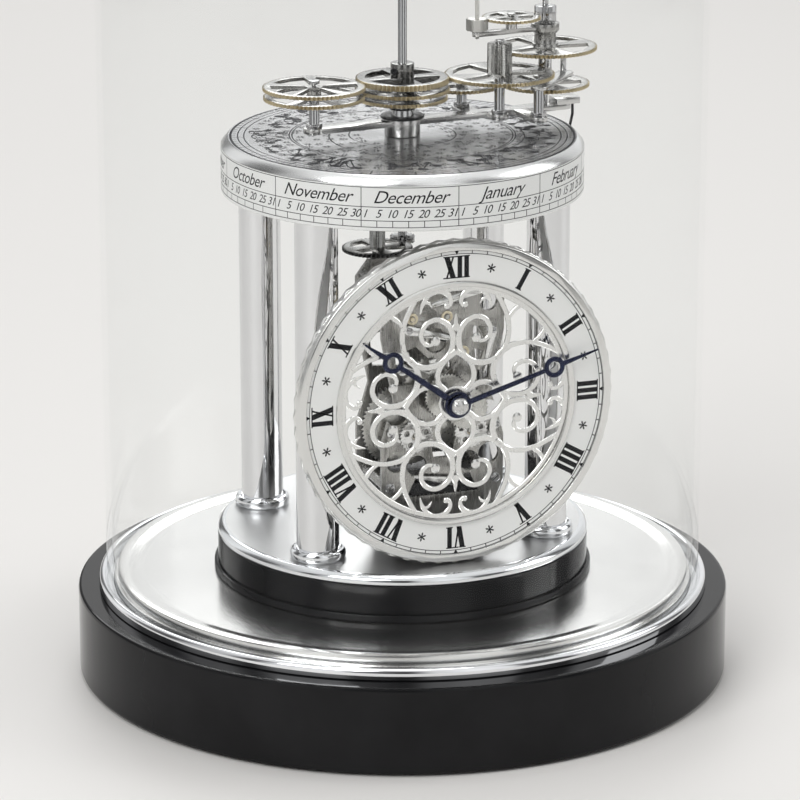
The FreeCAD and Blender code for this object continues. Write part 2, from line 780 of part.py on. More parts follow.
# ------------------------------------------------ concentric centre of the tellurion
sun_centre = drum_top + sun_height
top_wheel_phase = 0.0
arbor_bottom = transfer_level - 3.0
arbor_shaft = disc(shaft_radius, arbor_bottom, sun_centre - sun_radius * 0.6 - arbor_bottom)
arbor_pinion = toothed(teeth_arbor_pinion, wheel_module, 0.0, transfer_level - 0.8, wheel_thickness + 1.6)
save("centre_shaft", arbor_shaft.fuse(arbor_pinion))
sun = Part.makeSphere(sun_radius, V(0, 0, sun_centre))
sun = sun.cut(disc(shaft_radius, sun_centre - sun_radius - 1, sun_radius * 0.4 + 1))
save("sun_ball", sun)
top_wheel = wheel(teeth_top, wheel_module, top_wheel_phase, level_c, top_wheel_thickness, shaft_radius,
                  6.0, 2.6, 4, 66)
collar = ring(collar_radius, shaft_radius, level_c + top_wheel_thickness, collar_height)
save("top_wheel", top_wheel, collar)


sleeve_inner = shaft_radius + run_gap
sleeve_outer = sleeve_inner + sleeve_wall
direction_left = 180.0
left_distance = centre_distance(teeth_top, teeth_left_upper, wheel_module)
upper_left_phase = meshed_phase(teeth_top, top_wheel_phase, direction_left, teeth_left_upper)
lower_left_phase = 0.0
second_phase = meshed_phase(teeth_left_lower, lower_left_phase, direction_left - 180.0, teeth_second)
second_wheel = wheel(teeth_second, wheel_module, second_phase, level_b, wheel_thickness, sleeve_inner,
                     5.4, 2.4, 4, 66)
sleeve = ring(sleeve_outer, sleeve_inner, drum_bottom + 0.5, level_b + 2.4 - drum_bottom - 0.5)
save("second_wheel", second_wheel.fuse(sleeve))

fixed_phase = 0.0
fixed_wheel = wheel(teeth_fixed, wheel_module, fixed_phase, level_a, wheel_thickness, tube_inner,
                    6.6, 2.4, 4, 66)
fixed_boss = turned([
    (tube_outer, level_a - 4.0),
    (tube_outer + 0.9, level_a - 4.0),
    (tube_outer + 1.9, level_a),
    (tube_outer, level_a),
])
save("fixed_wheel", fixed_wheel.fuse(fixed_boss))
save("centre_tube", ring(tube_outer, tube_inner, floor_top, level_a - floor_top))
hub_bottom = drum_top + 0.3
hub_top = hub_bottom + hub_height
save("hub_clip", ring(hub_ring_radius, tube_outer, hub_top + run_gap, hub_ring_thickness))


# ------------------------------------------------ year arm, drawn along +X and then turned
def armed(shape):
    shape.rotate(V(0, 0, 0), UP, arm_angle)
    return shape


earth_x = earth_circle
idler_distance = centre_distance(teeth_fixed, teeth_idler, wheel_module)
idler_angle = math.degrees(math.acos(earth_circle / 2 / idler_distance))
idler_x, idler_y = polar(idler_distance, idler_angle)
drive_distance = centre_distance(teeth_top, teeth_moon_drive, wheel_module)
moon_distance = centre_distance(teeth_long_pinion, teeth_moon_wheel, wheel_module)
drive_cosine = drive_distance ** 2 + earth_circle ** 2 - moon_distance ** 2
drive_cosine = drive_cosine / (2 * drive_distance * earth_circle)
drive_angle = -math.degrees(math.acos(drive_cosine))
drive_x, drive_y = polar(drive_distance, drive_angle)
left_x = -left_distance
bridge_post_distance = tip_radius(teeth_fixed, wheel_module) + post_radius + bridge_post_gap
bridge_post_offset = -math.sqrt(bridge_post_distance ** 2 - (earth_circle - bridge_post_circle) ** 2)

arm = capsule((left_x, 0), (arm_length, 0), arm_width, arm_bottom, arm_thickness)
lug = 2 * post_nut_radius + 1.0
lugs = [
    capsule((idler_x, 0), (idler_x, idler_y), lug, arm_bottom, arm_thickness),
    capsule((drive_x, 0), (drive_x, drive_y), lug, arm_bottom, arm_thickness),
    capsule((bridge_post_circle, 0), (bridge_post_circle, bridge_post_offset), lug, arm_bottom,
            arm_thickness),
    disc(lug / 2 + 0.6, arm_bottom, arm_thickness, left_x, 0),
    disc(hub_radius, hub_bottom, hub_height),
]
arm = arm.fuse(lugs).cut([
    disc(tube_outer + run_gap, hub_bottom - 1, hub_height + 2),
    disc(earth_shaft_radius + run_gap, arm_bottom - 1, arm_thickness + 2, earth_x, 0),
])
save("year_arm", armed(arm.removeSplitter()))


def post(x, y, top):
    """A turned post with a hexagonal foot, standing on the arm."""
    foot_points = [(x + px, y + py) for px, py in (polar(post_nut_radius, 30 + 60 * i) for i in range(6))]
    foot = plate(foot_points, arm_top, post_nut_height)
    return foot.fuse(disc(post_radius, arm_top, top - arm_top, x, y))


def stud_post(x, y, shoulder, top):
    """A post whose thinner end carries a wheel above its shoulder."""
    body = post(x, y, shoulder)
    return body.fuse(disc(arbor_radius, shoulder, top - shoulder, x, y))


idler_cap = level_a + wheel_thickness + run_gap
left_low = level_b
left_high = level_c + (top_wheel_thickness - wheel_thickness) / 2
pinion_top = level_c + 14.6
cap_height = 1.4


def cap(x, y, bottom, radius=2.4):
    return disc(radius, bottom, cap_height, x, y)


left_post = stud_post(left_x, 0, left_low - run_gap, left_high + wheel_thickness + 1.2)
left_post = left_post.fuse(cap(left_x, 0, left_high + wheel_thickness + 1.2))
idler_post = stud_post(idler_x, idler_y, level_a - run_gap, idler_cap + 1.0)
idler_post = idler_post.fuse(cap(idler_x, idler_y, idler_cap + 1.0))
drive_post = stud_post(drive_x, drive_y, left_high - run_gap, pinion_top + run_gap)
drive_post = drive_post.fuse(cap(drive_x, drive_y, pinion_top + run_gap, 1.9))
bridge_bottom = level_a + wheel_thickness + bridge_gap
bridge_post = post(bridge_post_circle, bridge_post_offset, bridge_bottom)
save("arm_posts", *[armed(piece) for piece in (left_post, idler_post, drive_post, bridge_post)])

block_start = arm_length - arm_width / 2
block = Part.makeBox(pointer_block_length, arm_width, pointer_block_height,
                     V(block_start, -arm_width / 2, arm_top))
hook_start = V(block_start + pointer_block_length - 1.6, 0, arm_top)
hook_turn = V(arm_length + arm_width / 2 + pointer_arm_gap + pointer_radius, 0, arm_bottom - 3.0)
hook_end = V(drum_radius + pointer_reach, 0, band_top - 3.0)
hook = rod(pointer_radius, hook_start, hook_turn).fuse([
    rod(pointer_radius, hook_turn, hook_end),
    Part.makeSphere(pointer_radius, hook_turn),
])
save("date_pointer", armed(block), armed(hook.removeSplitter()))

# wheels carried by the arm
left_phase_low = lower_left_phase
left_hub = left_hub_modules * wheel_module
left_lower = wheel(teeth_left_lower, wheel_module, left_phase_low, left_low, wheel_thickness,
                   arbor_radius + run_gap, left_hub, 2.0, 5, 56)
left_upper = wheel(teeth_left_upper, wheel_module, upper_left_phase, left_high, wheel_thickness,
                   arbor_radius + run_gap, left_hub, 2.0, 5, 56)
left_boss_bottom = left_low + wheel_thickness
left_boss = ring(3.0, arbor_radius + run_gap, left_boss_bottom, left_high - left_boss_bottom)
left_pair = left_lower.fuse([left_upper, left_boss])
save("left_wheel_pair", armed(moved(left_pair, left_x, 0)))

idler_phase = meshed_phase(teeth_fixed, fixed_phase - arm_angle, idler_angle, teeth_idler)
idler = wheel(teeth_idler, wheel_module, idler_phase, level_a, wheel_thickness, arbor_radius + run_gap,
              4.6, 2.2, 4, 64)
save("idler_wheel", armed(moved(idler, idler_x, idler_y)))

earth_direction = math.degrees(math.atan2(-idler_y, earth_x - idler_x))
earth_phase = meshed_phase(teeth_idler, idler_phase, earth_direction, teeth_fixed)
earth_wheel = wheel(teeth_fixed, wheel_module, earth_phase, level_a, wheel_thickness, earth_shaft_radius,
                    4.6, 2.2, 4, 64)
save("earth_wheel", armed(moved(earth_wheel, earth_x, 0)))

drive_phase = meshed_phase(teeth_top, top_wheel_phase - arm_angle, drive_angle, teeth_moon_drive)
drive_wheel = wheel(teeth_moon_drive, wheel_module, drive_phase, left_high, wheel_thickness,
                    arbor_radius + run_gap, 5.4, 2.2, 4, 62)
long_pinion = toothed(teeth_long_pinion, wheel_module, 0.0, left_high + wheel_thickness,
                      pinion_top - left_high - wheel_thickness)
long_pinion = long_pinion.cut(disc(arbor_radius + run_gap, left_high, 30))
save("moon_drive_wheel", armed(moved(drive_wheel.fuse(long_pinion), drive_x, drive_y)))

# bridge with the upright tube that carries the moon's carrier and its sky pinion
tube_bore = earth_shaft_radius + run_gap
earth_tube_radius = tube_bore + earth_tube_wall
bar_bottom = drum_top + moon_bar_level
bar_top = bar_bottom + moon_bar_thickness
sky_bottom = bar_top + 1.4
sky_height = 7.0
bridge = capsule((earth_x + 10.5, 1.5), (bridge_post_circle, bridge_post_offset), bridge_width,
                 bridge_bottom, bridge_thickness)
bridge = bridge.fuse(disc(bridge_width / 2 + 1.5, bridge_bottom, bridge_thickness, earth_x, 0))
bridge = bridge.cut(disc(tube_bore, bridge_bottom - 1, 10, earth_x, 0))
save("earth_bridge", armed(bridge.removeSplitter()))
bridge_top = bridge_bottom + bridge_thickness
moon_wheel_level = level_c + moon_wheel_gap - 1.4
tube = ring(earth_tube_radius, tube_bore, bridge_top, sky_bottom + sky_height - bridge_top, earth_x, 0)
tube_collar = ring(earth_tube_radius + 1.3, tube_bore, moon_wheel_level - run_gap - 1.6, 1.6, earth_x, 0)
bridge_stud = disc(1.3, bridge_top, 8.0, earth_x + 9.5, 1.5)
sky_pinion = toothed(teeth_sky_pinion, wheel_module, 0.0, sky_bottom, sky_height)
sky_pinion = sky_pinion.cut(disc(earth_tube_radius, sky_bottom - 1, sky_height + 2))
tube_pieces = (tube.fuse(tube_collar), bridge_stud, moved(sky_pinion, earth_x, 0))
save("earth_tube", *[armed(piece) for piece in tube_pieces])

moon_direction = math.degrees(math.atan2(-drive_y, earth_x - drive_x))
moon_wheel_phase = meshed_phase(teeth_long_pinion, 0.0, moon_direction, teeth_moon_wheel)
carrier_bore = earth_tube_radius + run_gap
moon_wheel = wheel(teeth_moon_wheel, wheel_module, moon_wheel_phase, moon_wheel_level, wheel_thickness,
                   carrier_bore, 6.2, 2.2, 4, 66)
carrier_hub = turned([
    (carrier_bore, moon_wheel_level + wheel_thickness),
    (5.6, moon_wheel_level + wheel_thickness),
    (5.6, moon_wheel_level + wheel_thickness + 1.2),
    (4.6, moon_wheel_level + wheel_thickness + 1.2),
    (4.6, bar_bottom - 1.6),
    (6.0, bar_bottom),
    (6.0, bar_top + 1.0),
    (carrier_bore, bar_top + 1.0),
])
save("moon_wheel", armed(moved(moon_wheel.fuse(carrier_hub), earth_x, 0)))

sky_distance = centre_distance(teeth_sky_pinion, teeth_sky_idler, wheel_module)
sky_idler_phase = meshed_phase(teeth_sky_pinion, 0.0, moon_arm_angle, teeth_sky_idler)
sky_level = sky_bottom + 2.6
sky_step = polar(sky_distance, moon_arm_angle)
moon_step = polar(2 * sky_distance, moon_arm_angle)
sky_x = earth_x + sky_step[0]
sky_y = sky_step[1]
moon_x = earth_x + moon_step[0]
moon_y = moon_step[1]
bar_start = (earth_x + sky_step[0] * 0.36, sky_step[1] * 0.36)
moon_bar = capsule(bar_start, (moon_x, moon_y), moon_bar_width, bar_bottom, moon_bar_thickness)
moon_bar = moon_bar.cut([
    disc(6.0, bar_bottom - 1, 10, earth_x, 0),
    disc(moon_rod_radius + run_gap, bar_bottom - 1, 10, moon_x, moon_y),
])
sky_stud = disc(2.4, bar_top, sky_level - run_gap - bar_top, sky_x, sky_y)
sky_stud = sky_stud.fuse([
    disc(1.1, bar_top, sky_level + wheel_thickness + 0.5 - bar_top, sky_x, sky_y),
    disc(1.8, sky_level + wheel_thickness + 0.1, 1.0, sky_x, sky_y),
])
save("moon_bracket", armed(moon_bar.fuse(sky_stud)))
sky_idler = wheel(teeth_sky_idler, wheel_module, sky_idler_phase, sky_level, wheel_thickness * 0.8,
                  1.1 + run_gap, 3.4, 2.0, 4, 62)
save("sky_idler_wheel", armed(moved(sky_idler, sky_x, sky_y)))
moon_pinion_phase = meshed_phase(teeth_sky_idler, sky_idler_phase, moon_arm_angle, teeth_sky_pinion)
moon_centre = drum_top + globe_height
moon_pinion = toothed(teeth_sky_pinion, wheel_module, moon_pinion_phase, bar_top + 0.6, 5.0)
moon_shaft = disc(moon_rod_radius, bar_bottom - 1.0, moon_centre - moon_radius * 0.5 - bar_bottom + 1.0)
moon = Part.makeSphere(moon_radius, V(moon_x, moon_y, moon_centre))
moon = moon.cut(disc(moon_rod_radius, moon_centre - moon_radius - 1, moon_radius * 0.5 + 1, moon_x, moon_y))
moon_spindle = moved(moon_shaft.fuse(moon_pinion), moon_x, moon_y)
save("moon_and_rod", armed(moon), armed(moon_spindle))

# earth shaft, tilted pin and globe
globe_centre = V(earth_x, 0, drum_top + globe_height)
tilt = math.radians(globe_tilt)
tilt_axis = V(math.sin(tilt), 0, math.cos(tilt))
pin_low = globe_centre - tilt_axis * (globe_radius + 7.0)
shaft_top = pin_low.z
earth_shaft = disc(earth_shaft_radius, arm_bottom, shaft_top - 3.0 - arm_bottom, earth_x, 0)
neck = rod(earth_shaft_radius, V(earth_x, 0, shaft_top - 3.0), pin_low)
pin = rod(arbor_radius, pin_low, globe_centre + tilt_axis * (globe_radius + 1.4))
joints = [
    Part.makeSphere(earth_shaft_radius, V(earth_x, 0, shaft_top - 3.0)),
    Part.makeSphere(earth_shaft_radius, pin_low),
]
save("earth_shaft", armed(earth_shaft.fuse([neck, pin] + joints).removeSplitter()))
globe = Part.makeSphere(globe_radius, globe_centre, tilt_axis)
globe_bore = rod(arbor_radius + run_gap, pin_low, globe_centre + tilt_axis * (globe_radius + 2))
save("earth_globe", armed(globe.cut(globe_bore)))
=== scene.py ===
import math
import random
import bpy
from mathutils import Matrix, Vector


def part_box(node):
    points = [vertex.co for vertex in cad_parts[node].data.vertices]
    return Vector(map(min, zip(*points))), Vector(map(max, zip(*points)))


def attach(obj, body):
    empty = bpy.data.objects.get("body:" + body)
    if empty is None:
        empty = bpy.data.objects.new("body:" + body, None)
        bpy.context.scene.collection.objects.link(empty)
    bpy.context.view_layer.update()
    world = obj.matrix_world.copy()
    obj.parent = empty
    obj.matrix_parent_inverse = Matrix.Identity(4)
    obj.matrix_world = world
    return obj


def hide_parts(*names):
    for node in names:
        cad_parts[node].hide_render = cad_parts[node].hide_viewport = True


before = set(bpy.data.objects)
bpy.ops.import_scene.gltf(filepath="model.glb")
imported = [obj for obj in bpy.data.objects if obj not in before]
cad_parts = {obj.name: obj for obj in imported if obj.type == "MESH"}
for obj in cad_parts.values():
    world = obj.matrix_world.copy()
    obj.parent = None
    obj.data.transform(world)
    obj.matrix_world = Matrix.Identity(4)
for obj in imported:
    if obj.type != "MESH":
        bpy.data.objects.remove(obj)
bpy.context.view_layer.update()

# ---------------------------------------------------------------- base
# A heavy turned disc, lacquered black and polished to a deep gloss, with its edges just broken.
# Everything else stands on it. It is turned in one piece.
mm = 0.001


def only(piece):
    """Leaves this piece alone selected on the bench."""
    bpy.ops.object.select_all(action="DESELECT")
    piece.select_set(True)
    bpy.context.view_layer.objects.active = piece


def place(piece):
    """Fixes a piece's position in its own metal, so that its origin is the clock's."""
    only(piece)
    bpy.ops.object.transform_apply(location=True, rotation=True, scale=True)
    return piece


def turned(name, profile, sides=160, x=0.0, y=0.0, hollow=False):
    """Turns a piece on the lathe from its (radius, height) profile, in millimetres.

    A long run gets a ring close to each end, so that its shine stays straight right up to the corner."""
    supported = [profile[0]]
    for (r0, h0), (r1, h1) in zip(profile, profile[1:]):
        share = 0.3 / max(math.hypot(r1 - r0, h1 - h0), 0.001)
        if share < 0.05:
            supported.append((r0 + (r1 - r0) * share, h0 + (h1 - h0) * share))
            supported.append((r1 - (r1 - r0) * share, h1 - (h1 - h0) * share))
        supported.append((r1, h1))
    bpy.ops.object.select_all(action="DESELECT")
    radius, height = supported[0]
    bpy.ops.mesh.primitive_circle_add(vertices=sides, radius=radius * mm, fill_type="NOTHING",
                                      location=(x * mm, y * mm, height * mm))
    piece = bpy.context.object
    piece.name = name
    bpy.ops.object.mode_set(mode="EDIT")
    bpy.ops.mesh.select_mode(type="VERT")
    bpy.ops.mesh.select_all(action="SELECT")
    for next_radius, next_height in supported[1:]:
        rise = (next_height - height) * mm
        bpy.ops.mesh.extrude_region_move(TRANSFORM_OT_translate={"value": (0, 0, rise)})
        scale = next_radius / radius
        bpy.ops.transform.resize(value=(scale, scale, 1), center_override=(x * mm, y * mm, next_height * mm))
        radius, height = next_radius, next_height
    bpy.ops.mesh.select_all(action="DESELECT")
    bpy.ops.mesh.select_non_manifold()
    if hollow:
        bpy.ops.mesh.bridge_edge_loops()
    else:
        bpy.ops.mesh.fill_holes(sides=0)
    bpy.ops.mesh.select_all(action="SELECT")
    bpy.ops.mesh.normals_make_consistent(inside=False)
    bpy.ops.object.mode_set(mode="OBJECT")
    place(piece)
    bpy.ops.object.shade_smooth_by_angle(angle=math.radians(35))
    return piece


def fitted(piece, body, slot, material, *nodes):
    """Gives a finished piece its finish and fixes it on the body that carries it."""
    piece.data.materials.clear()
    piece.data.materials.append(material)
    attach(piece, body)
    if nodes:
        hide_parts(*nodes)
    return piece


def added(tree, kind, inputs, **settings):
    """Adds a node to a finish or to the sky. Each input is a value, or the output that feeds it."""
    node = tree.nodes.new("ShaderNode" + kind)
    for setting, value in settings.items():
        setattr(node, setting, value)
    for socket, value in inputs.items():
        if isinstance(value, bpy.types.NodeSocket):
            tree.links.new(value, node.inputs[socket])
        else:
            node.inputs[socket].default_value = value
    return node


def finish(name, colour, rough, metallic=1.0, scale=1300.0, stretch=(1, 1, 1), uneven=0.05, tone=0.1,
           bump=0.0, round_axis=None, centre=(0, 0, 0), fan=0.0, gloss=0.5):
    """A finish with fine marks: unevenness of shine, a slight change of tone and a very shallow grain.

    With round_axis the marks run in circles about that axis through centre, as a lathe leaves them.
    A fan above nought draws the shine out across those circles, as on ground discs. Paint and ink
    with a gloss under a half mirror less."""
    material = bpy.data.materials.new(name)
    material.use_nodes = True
    tree = material.node_tree
    shader = tree.nodes["Principled BSDF"]
    shader.inputs["Metallic"].default_value = metallic
    shader.inputs["Specular IOR Level"].default_value = gloss
    where = added(tree, "TexCoord", {})
    shift = added(tree, "Mapping", {
        "Vector": where.outputs["Object"],
        "Location": [-value * mm for value in centre],
    })
    marks_from = shift.outputs["Vector"]
    if round_axis:
        flat = added(tree, "VectorMath", {
            0: marks_from,
            1: [0.0 if axis == round_axis else 1.0 for axis in "xyz"],
        }, operation="MULTIPLY")
        reach = added(tree, "VectorMath", {0: flat.outputs["Vector"]}, operation="LENGTH")
        marks_from = added(tree, "CombineXYZ", {"X": reach.outputs["Value"]}).outputs["Vector"]
        if fan:
            shader.inputs["Anisotropic"].default_value = fan
            tree.links.new(flat.outputs["Vector"], shader.inputs["Tangent"])
    stretched = added(tree, "Mapping", {"Vector": marks_from, "Scale": stretch})
    marks = added(tree, "TexNoise", {"Vector": stretched.outputs["Vector"], "Scale": scale, "Detail": 4.0})
    shine = added(tree, "MapRange", {
        "Value": marks.outputs["Fac"],
        "From Min": 0.3,
        "From Max": 0.7,
        "To Min": max(0.0, rough - uneven),
        "To Max": rough + uneven,
    })
    tree.links.new(shine.outputs["Result"], shader.inputs["Roughness"])
    clouds = added(tree, "TexNoise", {"Vector": shift.outputs["Vector"], "Scale": 35.0, "Detail": 3.0})
    tones = added(tree, "ValToRGB", {"Fac": clouds.outputs["Fac"]})
    tones.color_ramp.elements[0].position = 0.35
    tones.color_ramp.elements[1].position = 0.65
    tones.color_ramp.elements[0].color = [value * (1 - tone) for value in colour] + [1]
    tones.color_ramp.elements[1].color = list(colour) + [1]
    tree.links.new(tones.outputs["Color"], shader.inputs["Base Color"])
    if bump:
        relief = added(tree, "Bump", {
            "Height": marks.outputs["Fac"],
            "Strength": bump,
            "Distance": 0.05 * mm,
        })
        tree.links.new(relief.outputs["Normal"], shader.inputs["Normal"])
    return material


black_lacquer = finish("black lacquer", (0.012, 0.012, 0.013), 0.07, metallic=0.0, scale=90.0,
                       uneven=0.02, tone=0.3, gloss=0.16)
# The lathe leaves a pip round the axis, which is closed last.
pip = 0.6
base_radius, base_low, base_top = 140.0, 1.2, 38.0
base_block = turned("base_block", [
    (pip, base_low),
    (120.0, base_low),
    (138.8, base_low),
    (139.7, 1.6),
    (base_radius, 2.4),
    (base_radius, 36.8),
    (139.65, 37.6),
    (138.8, base_top),
    (131.5, base_top),
    (pip, base_top),
], sides=256)
fitted(base_block, "clock", "black_gloss", black_lacquer, "base_disc")

# ---------------------------------------------------------------- felt under the base
# A die-cut ring of dark wool felt, glued under the base. It keeps the table from being scratched and
# the clock from sliding.
felt = finish("dark felt", (0.035, 0.035, 0.033), 0.95, metallic=0.0, scale=1800.0, uneven=0.04,
              tone=0.4, bump=0.9)
felt.node_tree.nodes["Principled BSDF"].inputs["Sheen Weight"].default_value = 0.5
felt_ring = turned("felt_ring", [
    (118.0, 0.0),
    (132.0, 0.0),
    (132.0, 0.6),
    (131.8, base_low),
    (118.2, base_low),
    (118.0, 0.6),
], sides=192, hollow=True)
fitted(felt_ring, "clock", "felt", felt, "base_felt")

# ---------------------------------------------------------------- ring that seats the glass dome
# A chromed brass ring, turned with a rounded outer wall and a groove that the foot of the glass stands
# in. It is pressed on the base.
chrome = finish("polished chrome", (0.83, 0.84, 0.86), 0.045, scale=260.0, uneven=0.025, tone=0.03)
seat_ring = turned("dome_seat_ring", [
    (124.8, base_top),
    (129.9, base_top),
    (131.0, 38.5),
    (131.0, 40.9),
    (130.86, 41.9),
    (130.4, 42.6),
    (129.7, 43.0),
    (128.7, 43.0),
    (128.1, 42.7),
    (128.1, 39.5),
    (124.8, 39.5),
], sides=256, hollow=True)
fitted(seat_ring, "clock", "chrome", chrome, "dome_ring")

# ---------------------------------------------------------------- dished tray inside the dome
# A plate spun to shape and polished like a mirror: a stepped rim, a flat land, then a cove down to its
# floor. It lies on the base, inside the seat ring.
tray_polish = finish("polished steel", (0.82, 0.815, 0.805), 0.17, scale=900.0, uneven=0.03, tone=0.04,
                     round_axis="z", bump=0.04, fan=0.5)
tray_rim, tray_floor = 124.4, 44.8
tray = turned("tray_plate", [
    (pip, base_top),
    (tray_rim, base_top),
    (tray_rim, 41.4),
    (124.1, 41.9),
    (123.6, 42.0),
    (122.8, 42.0),
    (122.8, 45.2),
    (122.6, 45.75),
    (122.0, 46.0),
    (118.9, 46.0),
    (118.2, 45.9),
    (115.8, 45.15),
    (113.8, tray_floor),
    (pip, tray_floor),
], sides=256)
fitted(tray, "clock", "chrome", tray_polish, "tray_disc")

# ---------------------------------------------------------------- pedestal
# A turned and lacquered drum on a slightly wider plinth, with a fine open seam where the two meet. It
# stands on the tray's floor and carries all that is above it.
plinth_top, pedestal_radius, pedestal_top = 48.0, 79.6, 60.8
plinth = turned("pedestal_foot", [
    (pip, tray_floor),
    (80.6, tray_floor),
    (81.2, 45.3),
    (81.2, 47.2),
    (80.9, 47.75),
    (80.3, plinth_top),
    (pip, plinth_top),
], sides=224)
fitted(plinth, "clock", "black_gloss", black_lacquer, "pedestal_plinth")
pedestal = turned("pedestal_body", [
    (pip, plinth_top),
    (78.9, plinth_top),
    (78.9, 48.35),
    (pedestal_radius, 48.6),
    (pedestal_radius, 60.2),
    (79.2, 60.6),
    (78.8, pedestal_top),
    (pip, pedestal_top),
], sides=224)
fitted(pedestal, "clock", "black_gloss", black_lacquer, "pedestal_drum")

# ---------------------------------------------------------------- pedestal's top plate
# A turned and nickelled plate with a ground, satin top and a broad polished bevel. It is screwed down
# on the drum from below.
plate_satin = finish("satin nickel", (0.62, 0.62, 0.62), 0.33, scale=1600.0, tone=0.08, round_axis="z",
                     bump=0.12, fan=0.6)
pedestal_face, bevel_start = 64.8, 76.3
top_plate = turned("pedestal_top", [
    (pip, pedestal_top),
    (79.3, pedestal_top),
    (pedestal_radius, 61.1),
    (pedestal_radius, 62.8),
    (79.4, 63.2),
    (78.0, 64.6),
    (77.5, pedestal_face),
    (76.2, pedestal_face),
    (pip, pedestal_face),
], sides=224)
fitted(top_plate, "clock", "nickel", plate_satin, "pedestal_plate")
top_plate.data.materials.append(chrome)
for face in top_plate.data.polygons:
    if math.hypot(face.center.x, face.center.y) > bevel_start * mm:
        face.material_index = 1

# ---------------------------------------------------------------- columns
# Four plain turned columns, chromed and polished, each screwed up through a rounded foot ring.
# They carry the calendar drum.
column_radius, column_circle, column_top = 9.0, 64.0, 211.2
column_chrome = finish("polished column chrome", (0.79, 0.79, 0.80), 0.03, scale=500.0,
                       stretch=(1, 1, 0.02), uneven=0.02, tone=0.03)
column_pattern = turned("column", [
    (0.4, pedestal_face),
    (column_radius, pedestal_face),
    (column_radius, 140.0),
    (column_radius, 210.4),
    (8.7, 210.9),
    (8.3, column_top),
    (0.4, column_top),
], sides=72)
foot_bore = 9.05
foot_pattern = turned("column_foot", [
    (foot_bore, pedestal_face),
    (10.9, pedestal_face),
    (11.45, 65.25),
    (11.7, 66.0),
    (11.7, 67.8),
    (11.45, 68.65),
    (10.9, 69.25),
    (10.2, 69.4),
    (9.5, 69.1),
    (foot_bore, 68.8),
], sides=72, hollow=True)


def copied(piece, name, x=0.0, y=0.0, z=0.0):
    """A copy of a piece with a mesh of its own, moved by so many millimetres."""
    only(piece)
    bpy.ops.object.duplicate()
    twin = bpy.context.object
    twin.name = name
    twin.location = (x * mm, y * mm, z * mm)
    return place(twin)


for number, angle in enumerate((37, 143, 217, 323), 1):
    x = column_circle * math.cos(math.radians(angle))
    y = column_circle * math.sin(math.radians(angle))
    column = copied(column_pattern, f"column_{number}", x, y)
    fitted(column, "clock", "chrome", column_chrome)
    foot = copied(foot_pattern, f"column_foot_{number}", x, y)
    fitted(foot, "clock", "chrome", chrome)
    if number == 1:
        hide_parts("columns")
        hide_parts("column_feet")
bpy.data.objects.remove(column_pattern)
bpy.data.objects.remove(foot_pattern)

# ---------------------------------------------------------------- calendar drum
# A shallow drum on the columns: a plate below, an enamelled band round it and a polished, bevelled
# ring on top that holds the engraved plate. The pieces are pressed into each other.
drum_face, floor_edge, floor_top = 76.4, 73.35, 213.6
band_inner, band_top = 73.4, 230.0
drum_under = turned("drum_plate", [
    (3.2, column_top),
    (72.9, column_top),
    (floor_edge, 211.6),
    (floor_edge, floor_top),
    (3.2, floor_top),
], sides=200, hollow=True)
fitted(drum_under, "clock", "nickel", plate_satin, "drum_floor")
enamel = finish("white enamel", (0.84, 0.84, 0.83), 0.32, metallic=0.0, scale=700.0, uneven=0.04,
                tone=0.02, bump=0.05)
band = turned("calendar_drum", [
    (band_inner, column_top),
    (75.9, column_top),
    (76.25, 211.35),
    (drum_face, 211.7),
    (drum_face, 229.8),
    (76.3, band_top),
    (band_inner, band_top),
], sides=240, hollow=True)
fitted(band, "clock", "calendar_white", enamel, "calendar_band")
bevel_polish = finish("satin bevel", (0.86, 0.86, 0.86), 0.24, scale=1500.0, tone=0.03, round_axis="z",
                      bump=0.05)
band.data.materials.append(bevel_polish)
enamel_low, enamel_inner = 211.65, 76.0
for face in band.data.polygons:
    reach = math.hypot(face.center.x, face.center.y)
    if face.center.z < enamel_low * mm or reach < enamel_inner * mm:
        face.material_index = 1
bevel_bore, plate_seat, plate_face = 69.9, 231.8, 233.8
drum_bevel = turned("drum_top_ring", [
    (bevel_bore, band_top),
    (76.2, band_top),
    (drum_face, 230.15),
    (76.35, 230.5),
    (73.75, 233.45),
    (73.5, 233.65),
    (73.3, plate_face),
    (73.25, 233.75),
    (73.25, plate_seat),
    (bevel_bore, plate_seat),
], sides=240, hollow=True)
fitted(drum_bevel, "clock", "silver", bevel_polish, "drum_bevel")

# ---------------------------------------------------------------- calendar printing
# Black enamel ink fired into the band: ruled lines, the months, a row of dates and a row of boxes
# that each hold five days. January begins above the dial.
ink = finish("black ink", (0.014, 0.014, 0.016), 0.5, metallic=0.0, scale=1200.0, uneven=0.08, tone=0.3,
             gloss=0.15)
year_turn = math.radians(-92.1)
row_lines = (229.45, 221.3, 215.6, 212.9)
month_height, month_size = 225.2, 7.5
date_height, date_size = 218.4, 4.9
printing = []
for height in row_lines:
    printing.append(turned(f"calendar_line_{len(printing)}", [
        (drum_face - 0.1, height - 0.14),
        (drum_face + 0.02, height - 0.14),
        (drum_face + 0.02, height + 0.14),
        (drum_face - 0.1, height + 0.14),
    ], sides=240, hollow=True))


def ruled(share, low, high):
    """One upright line, ruled at the same share of all twelve months."""
    turn = year_turn + math.radians(30 * share)
    bpy.ops.object.select_all(action="DESELECT")
    reach = (drum_face - 0.03) * mm
    bpy.ops.mesh.primitive_cube_add(
        size=1.0, rotation=(0, 0, turn),
        location=(reach * math.cos(turn), reach * math.sin(turn), (low + high) / 2 * mm))
    line = bpy.context.object
    line.scale = (0.1 * mm, 0.3 * mm, (high - low) * mm)
    place(line)
    bpy.ops.object.mode_set(mode="EDIT")
    bpy.ops.mesh.select_all(action="SELECT")
    bpy.ops.mesh.spin(steps=11, dupli=True, angle=math.radians(330), center=(0, 0, 0), axis=(0, 0, 1))
    bpy.ops.object.mode_set(mode="OBJECT")
    return line


